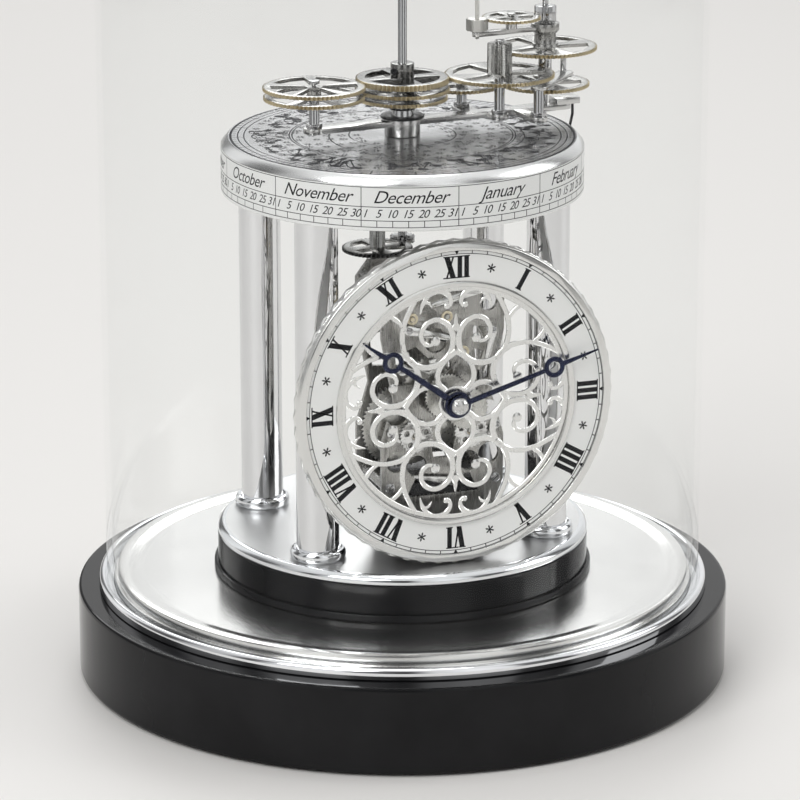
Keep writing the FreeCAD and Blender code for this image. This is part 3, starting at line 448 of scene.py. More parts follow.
printing.append(ruled(0.0, row_lines[3], row_lines[0]))
for day in (5, 10, 15, 20, 25):
    printing.append(ruled(day / 31, row_lines[3], row_lines[2]))


def lettered(words, size, lean, spacing):
    """A line of lettering as a thin sheet of ink, drawn flat about its own middle."""
    bpy.ops.object.select_all(action="DESELECT")
    bpy.ops.object.text_add(location=(0, 0, 0))
    text = bpy.context.object
    text.data.body = words
    text.data.size = size * mm
    text.data.shear = lean
    text.data.space_character = spacing
    text.data.align_x = "CENTER"
    text.data.align_y = "CENTER"
    text.data.resolution_u = 3
    text.data.extrude = 0.02 * mm
    bpy.ops.object.convert(target="MESH")
    return bpy.context.object


def wrapped(text, month_share, height):
    """Bends flat lettering round the band, at a share of the year and a height."""
    start = year_turn + 2 * math.pi * month_share
    for vertex in text.data.vertices:
        turn = start + vertex.co.x / (drum_face * mm)
        reach = drum_face * mm + vertex.co.z
        vertex.co = (reach * math.cos(turn), reach * math.sin(turn), height * mm + vertex.co.y)
    printing.append(text)


months = ("January", "February", "March", "April", "May", "June", "July", "August", "September", "October",
          "November", "December")
last_days = (31, 28, 31, 30, 31, 30, 31, 31, 30, 31, 30, 31)
for index, month in enumerate(months):
    wrapped(lettered(month, month_size, 0.42, 0.94), (index + 0.5) / 12, month_height)
    dates = [(0.035, "1")]
    dates += [(day / 31 + (0.012 if day == 5 else -0.014), str(day)) for day in (5, 10, 15, 20, 25)]
    dates.append((0.935, str(last_days[index])))
    for share, date in dates:
        wrapped(lettered(date, date_size, 0.35, 0.86), (index + share) / 12, date_height)


def joined(name, pieces):
    """Joins pieces into the first of them and names it."""
    only(pieces[0])
    for piece in pieces:
        piece.select_set(True)
    bpy.ops.object.join()
    pieces[0].name = name
    return place(pieces[0])


fitted(joined("calendar_print", printing), "clock", "calendar_white", ink)

# ---------------------------------------------------------------- engraved star plate
# A satin steel disc on top of the drum, engraved and filled with black: rings, a graduated edge and
# a plain field of stars. The centre tube stands up through its hole.
star_steel = finish("satin star steel", (0.44, 0.44, 0.445), 0.22, scale=1100.0, tone=0.12,
                    round_axis="z", bump=0.1, fan=0.7)
star_plate_bore, star_plate_edge = 4.7, 73.2
star_plate = turned("star_plate", [
    (star_plate_bore, plate_seat),
    (star_plate_edge, plate_seat),
    (star_plate_edge, plate_face),
    (40.0, plate_face),
    (star_plate_bore, plate_face),
], sides=240, hollow=True)
fitted(star_plate, "clock", "engraved_steel", star_steel, "star_disc")

graver = random.Random(11)
cuts = bpy.data.curves.new("engraving", "CURVE")
cuts.dimensions = "3D"
cuts.bevel_depth = 0.27 * mm
cuts.bevel_resolution = 0
cuts.use_fill_caps = True


def drawn(curve, points, height=0.0, closed=True):
    """Adds a line of straight runs through flat points, in millimetres, to a curve."""
    line = curve.splines.new("POLY")
    line.points.add(len(points) - 1)
    for point, (x, y) in zip(line.points, points):
        point.co = (x * mm, y * mm, height * mm, 1)
    line.use_cyclic_u = closed
    return line


def meshed(name, curve):
    """Makes a curve a piece with a mesh."""
    piece = bpy.data.objects.new(name, curve)
    bpy.context.scene.collection.objects.link(piece)
    only(piece)
    bpy.ops.object.convert(target="MESH")
    return bpy.context.object


def engrave(points, closed=False, weight=1.0):
    """One cut of the graver through flat points, in millimetres; a weight over one is a broader cut."""
    for point in drawn(cuts, points, plate_face, closed).points:
        point.radius = weight


def around(radius, angle, x=0.0, y=0.0):
    """The point at a radius and an angle, in radians, about a middle."""
    return x + radius * math.cos(angle), y + radius * math.sin(angle)


def engraved_circle(radius, x=0.0, y=0.0, sides=120):
    """A ring cut about a middle."""
    engrave([around(radius, 2 * math.pi * side / sides, x, y) for side in range(sides)], closed=True)


def engraved_star(x, y, radius):
    """A star of four cuts that cross in its middle, turned at random."""
    turn = graver.uniform(0, math.pi)
    for arm in range(4):
        angle = turn + math.pi * arm / 4
        engrave([around(-radius, angle, x, y), around(radius, angle, x, y)], weight=1.4)


def open_star(x, y, radius):
    """A star of six short rays round an empty middle, turned at random."""
    turn = graver.uniform(0, math.pi)
    for ray in range(6):
        angle = turn + math.pi * ray / 3
        engrave([around(0.4 * radius, angle, x, y), around(radius, angle, x, y)], weight=1.4)


scale_outer, scale_inner, dashed_ring = 72.0, 66.6, 57.5
for radius in (72.5, scale_outer, 69.2, scale_inner, 47.5, 46.4, 22.5):
    engraved_circle(radius)
for degree in range(0, 360, 3):
    inner = 70.2 if degree % 15 else scale_inner
    engrave([around(inner, math.radians(degree)), around(scale_outer, math.radians(degree))])
for dash in range(48):
    start = math.radians(dash * 7.5)
    engrave([around(dashed_ring, start), around(dashed_ring, start + math.radians(4.0))])
engraved_circle(41.0, 9.0, -5.0)
for sector in range(12):
    middle_turn = math.radians(sector * 30 + 15)
    figure = []
    for point in range(graver.randint(9, 12)):
        reach = graver.uniform(49.5, 64.0)
        figure.append(around(reach, middle_turn + math.radians(graver.uniform(-12.5, 12.5))))
    figure.sort(key=lambda star: math.atan2(star[1], star[0]))
    for star in figure:
        engraved_star(star[0], star[1], graver.uniform(1.2, 1.9))
    for first, second in zip(figure, figure[1:]):
        if math.dist(first, second) < 16:
            engrave([first, second], weight=1.3)
    for star in figure[::2]:
        engraved_circle(graver.uniform(1.5, 2.3), star[0], star[1], 12)
    for first, second in zip(figure, figure[3:]):
        sweep = []
        for step in range(9):
            bow = 1 + 0.05 * math.sin(step * math.pi / 8)
            sweep.append(tuple((a + (b - a) * step / 8) * bow for a, b in zip(first, second)))
        engrave(sweep)
for ring in range(8):
    reach = 20.0 + ring * 6.0
    stars = round(reach * 0.95)
    for step in range(stars):
        angle = 2 * math.pi * (step + graver.uniform(0.2, 0.8)) / stars
        x, y = around(reach + graver.uniform(-1.2, 1.2), angle)
        open_star(x, y, graver.uniform(1.5, 2.0))
engraving = meshed("star_engraving", cuts)
bpy.ops.object.mode_set(mode="EDIT")
bpy.ops.mesh.select_all(action="SELECT")
bpy.ops.transform.resize(value=(1, 1, 0.08), center_override=(0, 0, plate_face * mm))
bpy.ops.object.mode_set(mode="OBJECT")
place(engraving)
engraving_black = finish("engraver's black", (0.035, 0.035, 0.04), 0.5, metallic=0.0, scale=900.0,
                         uneven=0.1, tone=0.4, gloss=0.1)
fitted(engraving, "clock", "engraved_steel", engraving_black)

# ---------------------------------------------------------------- movement
# The going train stands between two nickel-silver plates on turned pillars, screwed to a seat on the
# pedestal. The plates are sawn out, grained and bevelled, and the wheels are cut, crossed out and polished.
nickel = finish("grained nickel silver", (0.46, 0.453, 0.435), 0.25, scale=900.0, stretch=(1, 1, 0.06),
                uneven=0.06, tone=0.12, bump=0.15)
wheel_metal = finish("silvered wheel", (0.43, 0.425, 0.41), 0.24, bump=0.08)
brass_metal = finish("bright brass", (0.95, 0.85, 0.65), 0.3, tone=0.16, bump=0.06)
# The brass and grey steel gap finishes are painted shade: a darker colour for the flanks and roots of teeth,
# where shade falls.
brass_gap_shade = finish("brass darkened by painted shade in the tooth gaps", (0.50, 0.42, 0.27), 0.35, tone=0.2)
shaded_wheel = finish("grey steel wheel", (0.46, 0.46, 0.45), 0.2, bump=0.06)
steel_gap_shade = finish("grey steel darkened by painted shade in the tooth gaps", (0.05, 0.05, 0.05), 0.4, tone=0.2)
movement_wheel = finish("polished movement wheel", (0.72, 0.71, 0.68), 0.3, tone=0.08)
steel_metal = finish("polished steel", (0.56, 0.56, 0.565), 0.14, scale=1500.0, uneven=0.04)
silver_metal = finish("brushed silver", (0.66, 0.655, 0.645), 0.22, scale=1100.0, tone=0.07, bump=0.08)
black_metal = finish("black steel", (0.028, 0.028, 0.03), 0.3, metallic=0.4, scale=700.0, uneven=0.08,
                     tone=0.3)


def soften(piece, width):
    """Breaks the sharp edges by a width in millimetres and shades the rest smooth."""
    only(piece)
    edge = piece.modifiers.new("edge", "BEVEL")
    edge.width = width * mm
    edge.segments = 2
    edge.limit_method = "ANGLE"
    edge.angle_limit = math.radians(38)
    edge.harden_normals = False
    bpy.ops.object.modifier_apply(modifier=edge.name)
    bpy.ops.object.shade_smooth_by_angle(angle=math.radians(35))


def refined(node, body, slot, material, edge=0.1):
    """Takes the sawn blank of a piece and finishes it: burrs off, edges broken, surfaces made smooth."""
    only(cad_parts[node])
    bpy.ops.object.duplicate()
    piece = bpy.context.object
    for mark in [key for key in piece.keys() if key.startswith("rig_")]:
        del piece[mark]
    piece.parent = None
    piece.name = f"{node}_finished"
    bpy.ops.object.mode_set(mode="EDIT")
    bpy.ops.mesh.select_mode(type="VERT")
    bpy.ops.mesh.select_all(action="SELECT")
    bpy.ops.mesh.remove_doubles(threshold=0.002 * mm)
    bpy.ops.mesh.dissolve_limited(angle_limit=math.radians(1.5))
    bpy.ops.object.mode_set(mode="OBJECT")
    place(piece)
    if edge:
        soften(piece, edge)
    else:
        bpy.ops.object.shade_smooth_by_angle(angle=math.radians(32))
    return fitted(piece, body, slot, material, node)


def brass_teeth(piece, axis, centre, depth=1.5, least=7.0, tip=brass_metal, gap=brass_gap_shade):
    """Leaves the cut teeth bare where the plating has been cut away, and paints shade on their flanks and
    down in the gaps.
    """
    piece.data.materials.append(tip)
    piece.data.materials.append(gap)
    along = "xyz".index(axis)
    across = [index for index in range(3) if index != along]
    rows = {}
    for face in piece.data.polygons:
        if abs(face.normal[along]) < 0.5:
            reach = math.hypot(*(face.center[index] - centre[index] * mm for index in across)) / mm
            row = round(face.center[along] / mm)
            for near in (row - 1, row, row + 1):
                rows[near] = max(rows.get(near, 0.0), reach)
    for face in piece.data.polygons:
        if abs(face.normal[along]) < 0.5:
            reach = math.hypot(*(face.center[index] - centre[index] * mm for index in across)) / mm
            outermost = rows[round(face.center[along] / mm)]
            if outermost > least and reach > outermost - depth:
                outward = 0.0
                for index in across:
                    outward += face.normal[index] * (face.center[index] - centre[index] * mm)
                on_tip = outward > 0.8 * reach * mm and reach > outermost - 0.3
                # Tip faces keep the tooth metal; flanks and roots get the darker gap finish, which is painted
                # shade.
                face.material_index = 1 if on_tip else 2


def middle(node):
    """The middle of a piece, in millimetres."""
    low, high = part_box(node)
    return [(low[index] + high[index]) / 2 / mm for index in range(3)]


plate_front, plate_back = 50.5, 48.5
refined("movement_seat", "clock", "black_steel", black_metal, 0.3)
refined("back_plate", "clock", "nickel", nickel, 0.2)
front = refined("front_plate", "clock", "nickel", nickel, 0.2)


def cut_away(piece, tool):
    """Cuts the shape of a tool out of a piece and puts the tool away."""
    only(piece)
    cut = piece.modifiers.new("cut", "BOOLEAN")
    cut.operation = "DIFFERENCE"
    cut.solver = "EXACT"
    cut.object = tool
    bpy.ops.object.modifier_apply(modifier=cut.name)
    bpy.data.objects.remove(tool)
    only(piece)


for x, z, radius in ((-3.2, 157.6, 5.2), (0.0, 146.2, 3.6), (-19.6, 178.0, 4.2), (20.0, 172.5, 4.0),
                     (-19.8, 127.0, 5.0), (20.3, 125.6, 4.2), (-20.4, 106.6, 4.6), (20.4, 106.6, 4.6),
                     (-11.6, 104.2, 4.4), (11.6, 104.2, 4.4), (-13.5, 177.2, 3.0)):
    bpy.ops.object.select_all(action="DESELECT")
    bpy.ops.mesh.primitive_cylinder_add(
        vertices=64, radius=radius * mm, depth=3 * (plate_front - plate_back) * mm,
        location=(x * mm, -(plate_front + plate_back) / 2 * mm, z * mm), rotation=(math.pi / 2, 0, 0))
    cut_away(front, bpy.context.object)
bpy.ops.object.shade_smooth_by_angle(angle=math.radians(32))
refined("plate_pillars", "clock", "nickel", nickel, 0.15)
refined("dial_posts", "clock", "steel", steel_metal, 0.12)
for node, body in (
    ("centre_wheel", "minute_group"), ("hour_wheel", "hour_group"), ("minute_wheel", "minute_wheel"),
    ("third_wheel", "third_wheel"), ("escape_wheel", "escape_wheel"),
    ("going_barrel", "going_barrel"), ("strike_barrel", "strike_barrel"),
):
    wheel = refined(node, body, "brass", movement_wheel, 0.06)
    brass_teeth(wheel, "y", middle(node), 1.3, 4.0, shaded_wheel, steel_gap_shade)
refined("minute_arbor", "minute_group", "steel", steel_metal, 0.05)
refined("balance_wheel", "balance_wheel", "brass", brass_metal, 0.08)

# ---------------------------------------------------------------- bushes of the front plate
# Turned brass bushes that the pivots run in, each with a shallow oil sink in its face. They are pressed
# into holes in the front plate.
barrel_reach, barrel_height = 12.08, 117.449


def facing(piece, x=0.0, z=0.0):
    """Stands a piece that was turned flat up on edge, facing forwards, and moves it to x and z."""
    piece.rotation_euler = (math.pi / 2, 0, 0)
    piece.location = (x * mm, 0, z * mm)
    return place(piece)


bush_bore = 1.35
bush_pattern = facing(turned("bush", [
    (bush_bore, plate_front - 0.05),
    (2.5, plate_front - 0.05),
    (2.5, plate_front + 0.2),
    (2.35, plate_front + 0.35),
    (1.9, plate_front + 0.35),
    (bush_bore, plate_front + 0.1),
], sides=40, hollow=True))
bushes = []
for x, z in ((9.065, 151.75), (1.718, 167.506), (-barrel_reach, barrel_height), (barrel_reach, barrel_height),
             (-13.5, 167.7)):
    bushes.append(copied(bush_pattern, "bush", x, 0, z))
bpy.data.objects.remove(bush_pattern)
fitted(joined("plate_bushes", bushes), "clock", "brass", brass_metal)

# ---------------------------------------------------------------- screws of the movement
# Slotted, polished steel screws that hold the plates to their pillars. Each head is turned, its edge
# rounded and its slot sawn across.


def screw_head(name, x, depth, z, radius, turn):
    """A slotted cheese head that faces forwards from a plate."""
    head = turned(name, [
        (radius * 0.98, depth - 0.05),
        (radius, depth + 0.1),
        (radius, depth + 0.6),
        (radius * 0.85, depth + 0.85),
        (radius * 0.4, depth + 0.95),
    ], sides=28)
    facing(head, x, z)
    bpy.ops.object.select_all(action="DESELECT")
    bpy.ops.mesh.primitive_cube_add(size=1.0, location=(x * mm, -(depth + 0.9) * mm, z * mm),
                                    rotation=(0, turn, 0))
    saw = bpy.context.object
    saw.scale = (radius * 2.4 * mm, 0.8 * mm, radius * 0.26 * mm)
    cut_away(head, place(saw))
    bpy.ops.object.shade_smooth_by_angle(angle=math.radians(35))
    return head


screws = []
screw_turns = random.Random(5)
pillar_low, pillar_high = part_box("plate_pillars")
pillar_radius = 2.6
for x in (pillar_low[0] / mm + pillar_radius, pillar_high[0] / mm - pillar_radius):
    for z in (pillar_low[2] / mm + pillar_radius, pillar_high[2] / mm - pillar_radius):
        screws.append(screw_head("plate_screw", x, plate_front, z, 2.1, screw_turns.uniform(0, 3.1)))
fitted(joined("plate_screws", screws), "clock", "steel", steel_metal)

# ---------------------------------------------------------------- ratchets, rack and levers
# Flat steel pieces in front of the plate, sawn from sheet, bevelled and polished: a ratchet wheel with
# its click for each barrel, and the toothed rack, hook and springs that count the hours. Each is held
# by a slotted screw.
lever_steel = finish("polished lever steel", (0.86, 0.86, 0.85), 0.2, scale=1500.0, tone=0.08)
sheet_edge = 0.12
ratchet_back, ratchet_thick = 50.9, 1.0
lever_back, lever_thick = 51.6, 1.1


def sawn(name, outlines, behind, thick):
    """A flat piece sawn from sheet, drawn as seen from the front. Outlines after the first are holes."""
    sheet = bpy.data.curves.new(name, "CURVE")
    sheet.dimensions = "2D"
    sheet.fill_mode = "BOTH"
    sheet.extrude = (thick / 2 - sheet_edge) * mm
    sheet.bevel_depth = sheet_edge * mm
    sheet.bevel_resolution = 1
    sheet.offset = -sheet_edge * mm
    for outline in outlines:
        drawn(sheet, outline)
    piece = meshed(name, sheet)
    bpy.ops.object.mode_set(mode="EDIT")
    bpy.ops.mesh.select_all(action="SELECT")
    bpy.ops.mesh.remove_doubles(threshold=0.001 * mm)
    bpy.ops.mesh.normals_make_consistent(inside=False)
    bpy.ops.object.mode_set(mode="OBJECT")
    piece.rotation_euler = (math.pi / 2, 0, 0)
    piece.location = (0, -(behind + thick / 2) * mm, 0)
    place(piece)
    bpy.ops.object.shade_smooth_by_angle(angle=math.radians(30))
    return piece


def arc(x, z, radius, first, last, steps):
    """Points along an arc, between two angles in degrees."""
    return [around(radius, math.radians(first + (last - first) * step / steps), x, z)
            for step in range(steps + 1)]


def saw_teeth(x, z, radius, depth, first, last, teeth):
    """A run of teeth that climb slowly and drop at once."""
    pitch = (last - first) / teeth
    points = []
    for tooth in range(teeth):
        points.append(around(radius - depth, math.radians(first + pitch * tooth), x, z))
        points.append(around(radius, math.radians(first + pitch * (tooth + 0.85)), x, z))
    return points


def lever(x0, z0, r0, x1, z1, r1):
    """The outline of a straight lever with a round end at either side."""
    lean = math.degrees(math.atan2(z1 - z0, x1 - x0))
    return arc(x0, z0, r0, lean + 90, lean + 270, 14) + arc(x1, z1, r1, lean - 90, lean + 90, 14)


crossings = []
for hole in range(5):
    hole_x, hole_z = around(4.5, math.radians(72 * hole + 18), -barrel_reach, barrel_height)
    crossings.append(arc(hole_x, hole_z, 1.15, 0, 345, 23))
ratchet = sawn("ratchets", [
    saw_teeth(-barrel_reach, barrel_height, 7.6, 0.9, 0, 360, 26),
    arc(-barrel_reach, barrel_height, 1.75, 0, 350, 35),
] + crossings, ratchet_back, ratchet_thick)
second_ratchet = copied(ratchet, "second_ratchet", 2 * barrel_reach)
fitted(joined("ratchets", [ratchet, second_ratchet]), "clock", "steel", lever_steel)

rack_x, rack_z, rack_reach = -18.5, 147.0, 15.5
rack_middle = -18.0
levers = [sawn("strike_levers", [
    saw_teeth(rack_x, rack_z, rack_reach, 1.0, rack_middle - 32, rack_middle + 32, 13)
    + arc(rack_x, rack_z, rack_reach - 3.6, rack_middle + 32, rack_middle + 8, 8)
    + arc(rack_x, rack_z, 2.5, rack_middle + 38, rack_middle + 322, 24)
    + arc(rack_x, rack_z, rack_reach - 3.6, rack_middle - 8, rack_middle - 32, 8),
], lever_back, lever_thick)]
lever_screws = [screw_head("lever_screw", rack_x, lever_back + lever_thick, rack_z, 1.6, 0.7)]
for x0, z0, r0, x1, z1, r1 in (
    (-23.3, 119.6, 1.8, -19.7, 115.8, 0.4),
    (23.3, 119.6, 1.8, 19.7, 115.8, 0.4),
    (-15.5, 163.5, 2.1, 5.5, 158.0, 0.9),
    (16.0, 178.5, 1.7, -5.0, 173.5, 0.9),
    (21.5, 160.5, 1.8, 17.5, 143.0, 0.6),
    (3.5, 96.5, 1.8, -13.0, 100.0, 0.6),
):
    levers.append(sawn("lever", [lever(x0, z0, r0, x1, z1, r1)], lever_back, lever_thick))
    lever_screws.append(screw_head("lever_screw", x0, lever_back + lever_thick, z0, r0 * 0.66, x0 + z0))
    levers.append(facing(turned("lever_stud", [
        (r0 * 0.7, plate_front - 0.05),
        (r0 * 0.7, plate_front + 0.1),
        (r0 * 0.62, plate_front + 0.3),
        (r0 * 0.62, lever_back + 0.1),
    ], sides=28), x0, z0))
fitted(joined("strike_levers", levers), "clock", "steel", lever_steel)
fitted(joined("lever_screws", lever_screws), "clock", "steel", steel_metal)

# ---------------------------------------------------------------- dial
# A satin silver bezel with a fluted edge carries a white enamelled chapter ring and, inside it, a
# slim raised ring. The pieces are turned, pressed together and held on four posts.
dial_height = 134.7


def stood(piece):
    """Stands a piece that was turned flat up on edge at the height of the dial."""
    return facing(piece, 0, dial_height)


dial_silver = finish("circular grained silver", (0.80, 0.795, 0.78), 0.2, scale=1600.0, tone=0.05,
                     round_axis="y", centre=(0, 0, dial_height), bump=0.1)
refined("dial_bezel", "clock", "silver", dial_silver, 0.18)
dial_enamel = finish("white dial enamel", (0.88, 0.878, 0.865), 0.33, metallic=0.0, scale=700.0,
                     uneven=0.04, tone=0.015, bump=0.04)
enamel_back, enamel_front = 65.4, 66.6
chapter = turned("chapter_enamel", [
    (51.1, enamel_back),
    (66.3, enamel_back),
    (66.3, enamel_front),
    (51.1, enamel_front),
], sides=240, hollow=True)
fitted(stood(chapter), "clock", "dial_white", dial_enamel, "chapter_ring")
inner = turned("inner_ring", [
    (49.9, enamel_front),
    (52.4, enamel_front),
    (52.4, 67.2),
    (52.2, 67.55),
    (51.7, 67.78),
    (50.6, 67.78),
    (50.1, 67.55),
    (49.9, 67.2),
], sides=240, hollow=True)
fitted(stood(inner), "clock", "silver", dial_silver, "inner_ring")

# ---------------------------------------------------------------- dial printing
# Roman hours, a minute track and half-hour stars in black ink. They are pad-printed on the enamel of the
# chapter ring, with the tops of the letters outwards.
dial_ink = []
print_face = enamel_front + 0.005
film_thick = 0.02


def inked(points):
    """One flat shape of ink, given by its corners in millimetres."""
    bpy.ops.object.select_all(action="DESELECT")
    bpy.ops.mesh.primitive_circle_add(vertices=len(points), radius=mm, fill_type="NGON")
    shape = bpy.context.object
    for corner, (x, y) in zip(shape.data.vertices, points):
        corner.co = (x * mm, y * mm, print_face * mm)
    dial_ink.append(shape)


def radial(points, angle, radius):
    """Turns points drawn upright about their own middle to their place round the dial, tops outwards."""
    c, s = math.cos(angle), math.sin(angle)
    return [(x * c + (y + radius) * s, (y + radius) * c - x * s) for x, y in points]


def slanted(x_low, x_high, width, half):
    """A stroke cut level at both ends."""
    return [(x_low - width / 2, -half), (x_low + width / 2, -half), (x_high + width / 2, half),
            (x_high - width / 2, half)]


half_height = 4.7
serif = 0.52
letter_widths = {"I": 2.95, "V": 5.5, "X": 5.6}


def letter_strokes(letter, x):
    """The strokes of one letter whose left side is at x."""
    top, low = half_height, -half_height
    strokes = []
    if letter == "I":
        mid = x + 1.48
        strokes.append(slanted(mid, mid, 2.0, half_height))
        feet = [(mid, top), (mid, low)]
    elif letter == "V":
        strokes.append(slanted(x + 2.85, x + 1.25, 2.2, half_height))
        strokes.append(slanted(x + 3.0, x + 4.4, 0.75, half_height))
        feet = [(x + 1.25, top), (x + 4.4, top)]
    else:
        strokes.append(slanted(x + 4.3, x + 1.35, 2.35, half_height))
        strokes.append(slanted(x + 1.35, x + 4.3, 0.75, half_height))
        feet = [(x + 1.35, top), (x + 4.3, top), (x + 1.35, low), (x + 4.3, low)]
    for foot, level in feet:
        inward = -serif if level > 0 else serif
        strokes.append([(foot - 1.45, level), (foot + 1.45, level), (foot + 1.45, level + inward),
                        (foot - 1.45, level + inward)])
    return strokes


hours = ("XII", "I", "II", "III", "IIII", "V", "VI", "VII", "VIII", "IX", "X", "XI")
for hour, letters in enumerate(hours):
    x = -sum(letter_widths[letter] for letter in letters) / 2
    for letter in letters:
        for stroke in letter_strokes(letter, x):
            inked(radial(stroke, math.radians(30 * hour), 58.2))
        x += letter_widths[letter]
    for arm in range(3):
        lean = math.pi * arm / 3
        across = []
        for along, side in ((-2.1, 0.0), (-1.5, 0.36), (0.0, 0.17), (1.5, 0.36), (2.1, 0.0), (1.5, -0.36),
                            (0.0, -0.17), (-1.5, -0.36)):
            across.append((along * math.sin(lean) + side * math.cos(lean),
                           along * math.cos(lean) - side * math.sin(lean)))
        inked(radial(across, math.radians(30 * hour + 15), 58.4))
    inked(radial([(-1.0, 0.95), (1.0, 0.95), (0.0, -0.95)], math.radians(30 * hour), 64.25))
for minute in range(60):
    inked(radial([(-0.19, -0.7), (0.19, -0.7), (0.19, 0.7), (-0.19, 0.7)], math.radians(6 * minute), 64.4))
for radius in (65.1, 63.7):
    dial_ink.append(turned("track_line", [
        (radius - 0.13, print_face),
        (radius + 0.13, print_face),
        (radius + 0.13, print_face + film_thick),
        (radius - 0.13, print_face + film_thick),
    ], sides=240, hollow=True))
dial_print = joined("dial_print", dial_ink)
film = dial_print.modifiers.new("film", "SOLIDIFY")
film.thickness = film_thick * mm
film.offset = 1.0
bpy.ops.object.modifier_apply(modifier=film.name)
fitted(stood(dial_print), "clock", "dial_white", ink)

# ---------------------------------------------------------------- fretwork
# Scrolls pierced out of silver sheet with a saw and then bevelled and polished, the same in each
# eighth of the round. The sheet is pinned behind the dial.
fret_depth = 65.85
edge_line = bpy.data.curves.new("strap_edge", "CURVE")
edge_line.dimensions = "2D"
drawn(edge_line, ((-1.0, -0.42), (1.0, -0.42), (1.0, 0.2), (0.75, 0.4), (0.4, 0.4), (-0.4, 0.4),
                  (-0.75, 0.4), (-1.0, 0.2)))
strap_edge = bpy.data.objects.new("strap_edge", edge_line)
bpy.context.scene.collection.objects.link(strap_edge)
fret_pieces = []


def strap(points, closed=False):
    """One strap of the fretwork through (x, y, width share) points, in millimetres."""
    line = bpy.data.curves.new("strap", "CURVE")
    line.dimensions = "2D"
    line.resolution_u = 10
    line.bevel_mode = "OBJECT"
    line.bevel_object = strap_edge
    line.use_fill_caps = True
    run = line.splines.new("BEZIER")
    run.bezier_points.add(len(points) - 1)
    for point, (x, y, width) in zip(run.bezier_points, points):
        point.co = (x * mm, y * mm, 0)
        point.radius = width
        point.handle_left_type = "AUTO"
        point.handle_right_type = "AUTO"
    run.use_cyclic_u = closed
    scroll = meshed("strap", line)
    scroll.location = (0, 0, fret_depth * mm)
    fret_pieces.append(place(scroll))


def stud(x, y, radius):
    """The round, slightly domed end of a scroll."""
    fret_pieces.append(turned("stud", [
        (radius * 0.96, fret_depth - 0.45),
        (radius, fret_depth - 0.3),
        (radius, fret_depth + 0.25),
        (radius * 0.8, fret_depth + 0.48),
        (radius * 0.4, fret_depth + 0.56),
    ], sides=28, x=x, y=y))


strap([(10.0, 26.0, 0.7), (12.4, 25.9, 0.85), (14.8, 28.4, 0.95), (14.5, 32.8, 1.0), (10.2, 36.2, 1.05),
       (5.0, 35.0, 1.1), (1.9, 31.0, 1.15), (1.25, 26.8, 1.2), (2.4, 22.2, 1.25), (5.6, 18.4, 1.3),
       (10.6, 16.5, 1.3), (16.2, 17.2, 1.25), (20.9, 21.0, 1.15), (23.1, 27.0, 1.05), (22.8, 34.0, 1.0),
       (20.2, 41.0, 1.0), (16.6, 47.4, 1.1)])
stud(8.9, 27.3, 1.95)
strap([(0.0, 22.4, 1.5), (4.4, 18.9, 1.15), (7.5, 14.4, 1.1), (7.6, 9.6, 1.15), (4.6, 5.6, 1.3)])
strap([(3.4, 41.2, 0.6), (2.2, 43.3, 0.9), (3.3, 46.3, 1.1), (6.8, 48.3, 1.2), (11.2, 47.4, 1.05),
       (14.4, 43.6, 0.9), (15.6, 39.4, 0.25)])
stud(4.0, 41.8, 1.25)
strap([(14.4, 44.2, 0.9), (11.8, 43.6, 0.55), (10.4, 41.6, 0.2)])
strap([(22.6, 33.6, 0.8), (25.6, 37.4, 0.9), (29.8, 40.2, 1.0)])
strap([(17.6, 17.6, 1.3), (20.6, 20.6, 1.2), (21.6, 23.6, 0.8)])
strap([(1.2, 31.4, 1.2), (0.0, 34.6, 0.9), (0.0, 38.4, 0.3)])
fretwork = joined("scroll_fretwork", fret_pieces)
bpy.ops.object.mode_set(mode="EDIT")
bpy.ops.mesh.select_all(action="SELECT")
bpy.ops.mesh.duplicate_move()
bpy.ops.transform.resize(value=(-1, 1, 1), center_override=(0, 0, fret_depth * mm))
bpy.ops.mesh.select_all(action="SELECT")
bpy.ops.mesh.spin(steps=3, dupli=True, angle=math.radians(270), center=(0, 0, 0), axis=(0, 0, 1))
bpy.ops.mesh.select_all(action="SELECT")
bpy.ops.mesh.remove_doubles(threshold=0.002 * mm)
bpy.ops.mesh.normals_make_consistent(inside=False)
bpy.ops.object.mode_set(mode="OBJECT")
fret_rings = [fretwork]
for ring_inner, ring_outer in ((5.0, 7.4), (47.9, 51.0)):
    fret_rings.append(turned("fret_ring", [
        (ring_inner, fret_depth - 0.45),
        (ring_outer, fret_depth - 0.45),
        (ring_outer, fret_depth + 0.3),
        (ring_outer - 0.2, fret_depth + 0.45),
        (ring_inner + 0.2, fret_depth + 0.45),
        (ring_inner, fret_depth + 0.25),
    ], sides=160, hollow=True))
fretwork = joined("scroll_fretwork", fret_rings)
bpy.data.objects.remove(strap_edge)
bpy.ops.object.shade_smooth_by_angle(angle=math.radians(30))
fret_silver = finish("polished fret silver", (0.83, 0.825, 0.81), 0.24, scale=900.0, tone=0.06,
                     bump=0.03)
fitted(stood(fretwork), "clock", "silver", fret_silver, "dial_fretwork")

